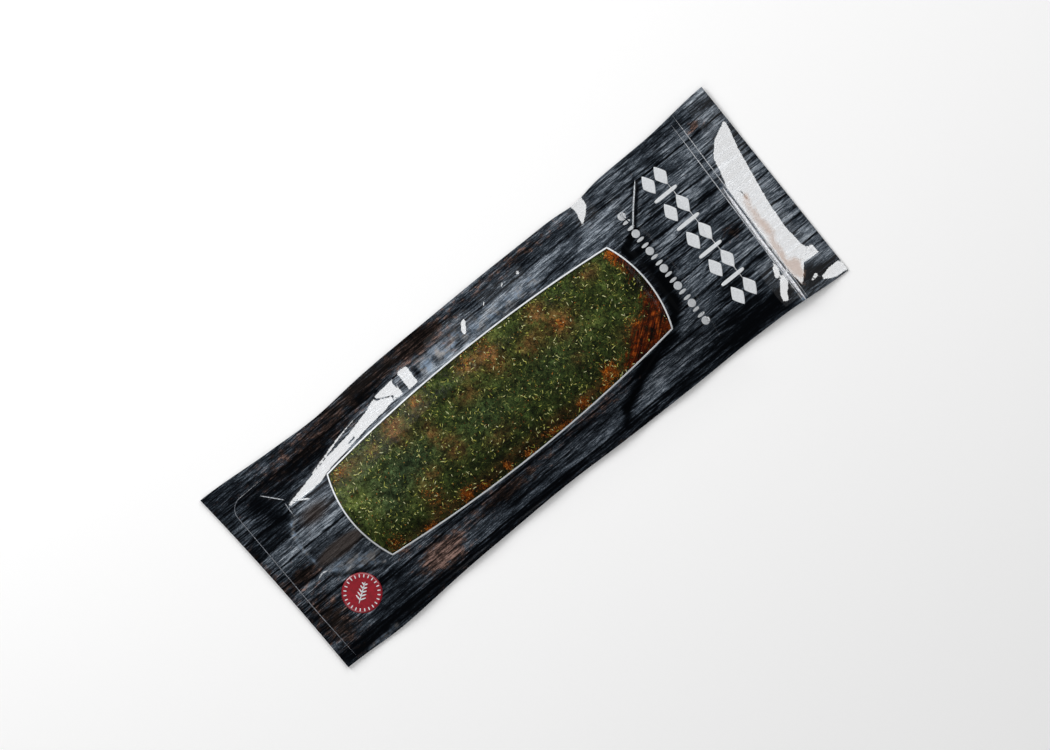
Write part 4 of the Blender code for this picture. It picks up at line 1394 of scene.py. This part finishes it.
class GRAVLAX_OT_prints(bpy.types.Operator):
    """Prints a band of lozenges, a row of seeds and a round mark with a sprig"""

    bl_idname = "gravlax.prints"
    bl_label = "Prints"
    bl_options = {"REGISTER", "UNDO"}

    def execute(self, context):
        film = context.scene.gravlax_film
        ink = pale_ink(film, "ornament ink")
        band = []
        for k, y in enumerate(np.linspace(*BAND_REACH, BAND_COUNT)):
            if k % 2:
                band.append(superellipse((BAND_X, y), BAR, 4.0))
            else:
                places = [(BAND_X + aside, y) for aside in (-LOZENGE_ASIDE, LOZENGE_ASIDE)]
                band += [superellipse(place, LOZENGE, 1.15) for place in places]
        seeds = [
            superellipse((ROW_X, y), (SEED_LENGTH, SEED_WIDTH if k % 3 else SEED_LENGTH), 2.0)
            for k, y in enumerate(np.linspace(-ROW_REACH, ROW_REACH, ROW_COUNT))
        ]
        disc = superellipse(MARK_MIDDLE, (MARK_RADIUS, MARK_RADIUS), 2.0, count=96)
        for name, outlines, layers, material in (
            ("ornament_band", band, 1, ink),
            ("ornament_row", seeds, 1, ink),
            ("round_mark", [disc], 1, red_ink(film)),
            ("round_mark_sprig", self.ticks() + self.sprig(), 2, ink),
        ):
            mesh = joined_decals(name, outlines, layers * film.print_height)
            add_piece(name, mesh, material, "printed_film")
        return {"FINISHED"}

    def ticks(self):
        """Ticks in a ring on the round mark, each along its radius."""
        x, y = MARK_MIDDLE
        turns = 2.0 * math.pi * np.arange(TICK_COUNT) / TICK_COUNT
        spots = [(x + TICK_RING * math.cos(turn), y + TICK_RING * math.sin(turn), turn) for turn in turns]
        return [superellipse((sx, sy), TICK, 3.0, turn, 12) for sx, sy, turn in spots]

    def sprig(self):
        """A leaning stem with pairs of leaflets that grow shorter up it."""
        x, y = MARK_MIDDLE
        shapes = [superellipse(MARK_MIDDLE, STEM, 3.0, SPRIG_LEAN, 24)]
        for k in range(LEAFLET_PAIRS):
            along, reach = -0.0042 + 0.0023 * k, 0.0021 - 0.00022 * k
            for side in (-1.0, 1.0):
                aside, turn = side * reach * 0.75, SPRIG_LEAN - side * 0.5
                foot = (
                    x + along * math.cos(SPRIG_LEAN) - aside * math.sin(turn),
                    y + along * math.sin(SPRIG_LEAN) + aside * math.cos(turn),
                )
                shapes.append(superellipse(foot, (reach, LEAFLET_WIDTH), 2.0, SPRIG_LEAN + side * 0.95, 16))
        return shapes


class GRAVLAX_OT_stage(bpy.types.Operator):
    """Sets the pale floor, the soft lamps and the camera above the pouch"""

    bl_idname = "gravlax.stage"
    bl_label = "Stage"
    bl_options = {"REGISTER", "UNDO"}

    def execute(self, context):
        scene = context.scene
        stage = scene.gravlax_stage
        nodes = Nodes("pale floor")
        pale = nodes.mix(nodes.noise(3.0, 2.0), tuple(0.985 * value for value in stage.floor), stage.floor)
        material = nodes.finish(base_color=pale, roughness=0.9, specular_ior_level=0.05)
        side = np.linspace(-FLOOR_REACH, FLOOR_REACH, FLOOR_COUNT)
        x, y = np.meshgrid(side, side, indexing="ij")
        points = np.stack([x, y, np.zeros_like(x)], -1).reshape(-1, 3)
        mesh = raw_mesh("floor", points, quads(np.arange(FLOOR_COUNT**2).reshape(FLOOR_COUNT, FLOOR_COUNT)))
        mesh.materials.append(material)
        floor = bpy.data.objects.new("floor", mesh)
        scene.collection.objects.link(floor)
        for lamp in LAMPS:
            self.lamp(scene, *lamp)
        self.studio(scene)

        camera = bpy.data.cameras.new("camera")
        camera.lens = stage.lens
        camera.sensor_width = SENSOR_WIDTH
        viewer = bpy.data.objects.new("camera", camera)
        viewer.location = (*CAMERA_PLACE[:2], stage.view_width * stage.lens / SENSOR_WIDTH)
        viewer.rotation_euler = (0.0, 0.0, stage.turn)
        scene.collection.objects.link(viewer)
        scene.camera = viewer
        return {"FINISHED"}

    def studio(self, scene):
        """White light from all round, faint on the pouch and bright where the camera looks past the floor."""
        world = bpy.data.worlds.new("studio")
        scene.world = world
        world.use_nodes = True
        tree = world.node_tree
        back = tree.nodes["Background"]
        ray = tree.nodes.new("ShaderNodeLightPath")
        mix = tree.nodes.new("ShaderNodeMix")
        mix.data_type = "FLOAT"
        mix.inputs[2].default_value = LIGHT_ON_POUCH
        mix.inputs[3].default_value = LIGHT_BEHIND
        tree.links.new(ray.outputs["Is Camera Ray"], mix.inputs[0])
        tree.links.new(mix.outputs[0], back.inputs["Strength"])
        back.inputs["Color"].default_value = (1.0, 1.0, 1.0, 1.0)
        scene.view_settings.view_transform = "Standard"

    def lamp(self, scene, name, target, azimuth, elevation, distance, size, power):
        """A softbox at that angle from X and above the floor, that far from its target and facing it."""
        light = bpy.data.lights.new(name, "AREA")
        light.shape = "RECTANGLE"
        light.size, light.size_y = size
        light.energy = power
        away = Vector(away_from(azimuth, elevation))
        box = bpy.data.objects.new(name, light)
        box.location = Vector(target) + away * distance
        box.rotation_euler = (-away).to_track_quat("-Z", "Y").to_euler()
        scene.collection.objects.link(box)


class GRAVLAX_PT_panel(bpy.types.Panel):
    """Lists the sizes, the colours and the steps that make the dressed pouch"""

    bl_idname = "GRAVLAX_PT_panel"
    bl_label = "Gravlax Pouch"
    bl_space_type = "VIEW_3D"
    bl_region_type = "UI"
    bl_category = "Gravlax"

    def draw(self, context):
        layout = self.layout
        for group in SETTINGS:
            settings = getattr(context.scene, group)
            box = layout.box()
            for name in settings.__annotations__:
                box.prop(settings, name)
        for operator in STEPS:
            layout.operator(operator.bl_idname)


SETTINGS = {"gravlax_film": FilmSettings, "gravlax_crust": CrustSettings, "gravlax_stage": StageSettings}
STEPS = (
    GRAVLAX_OT_film,
    GRAVLAX_OT_window,
    GRAVLAX_OT_fillet,
    GRAVLAX_OT_herbs,
    GRAVLAX_OT_seals,
    GRAVLAX_OT_prints,
    GRAVLAX_OT_stage,
)


def register():
    for name, settings in SETTINGS.items():
        bpy.utils.register_class(settings)
        setattr(bpy.types.Scene, name, PointerProperty(type=settings))
    for cls in (*STEPS, GRAVLAX_PT_panel):
        bpy.utils.register_class(cls)


def unregister():
    for cls in (GRAVLAX_PT_panel, *reversed(STEPS)):
        bpy.utils.unregister_class(cls)
    for name, settings in SETTINGS.items():
        delattr(bpy.types.Scene, name)
        bpy.utils.unregister_class(settings)


def main():
    register()
    for make in (
        bpy.ops.gravlax.film,
        bpy.ops.gravlax.window,
        bpy.ops.gravlax.fillet,
        bpy.ops.gravlax.herbs,
        bpy.ops.gravlax.seals,
        bpy.ops.gravlax.prints,
        bpy.ops.gravlax.stage,
    ):
        make()


if __name__ == "__main__":
    main()
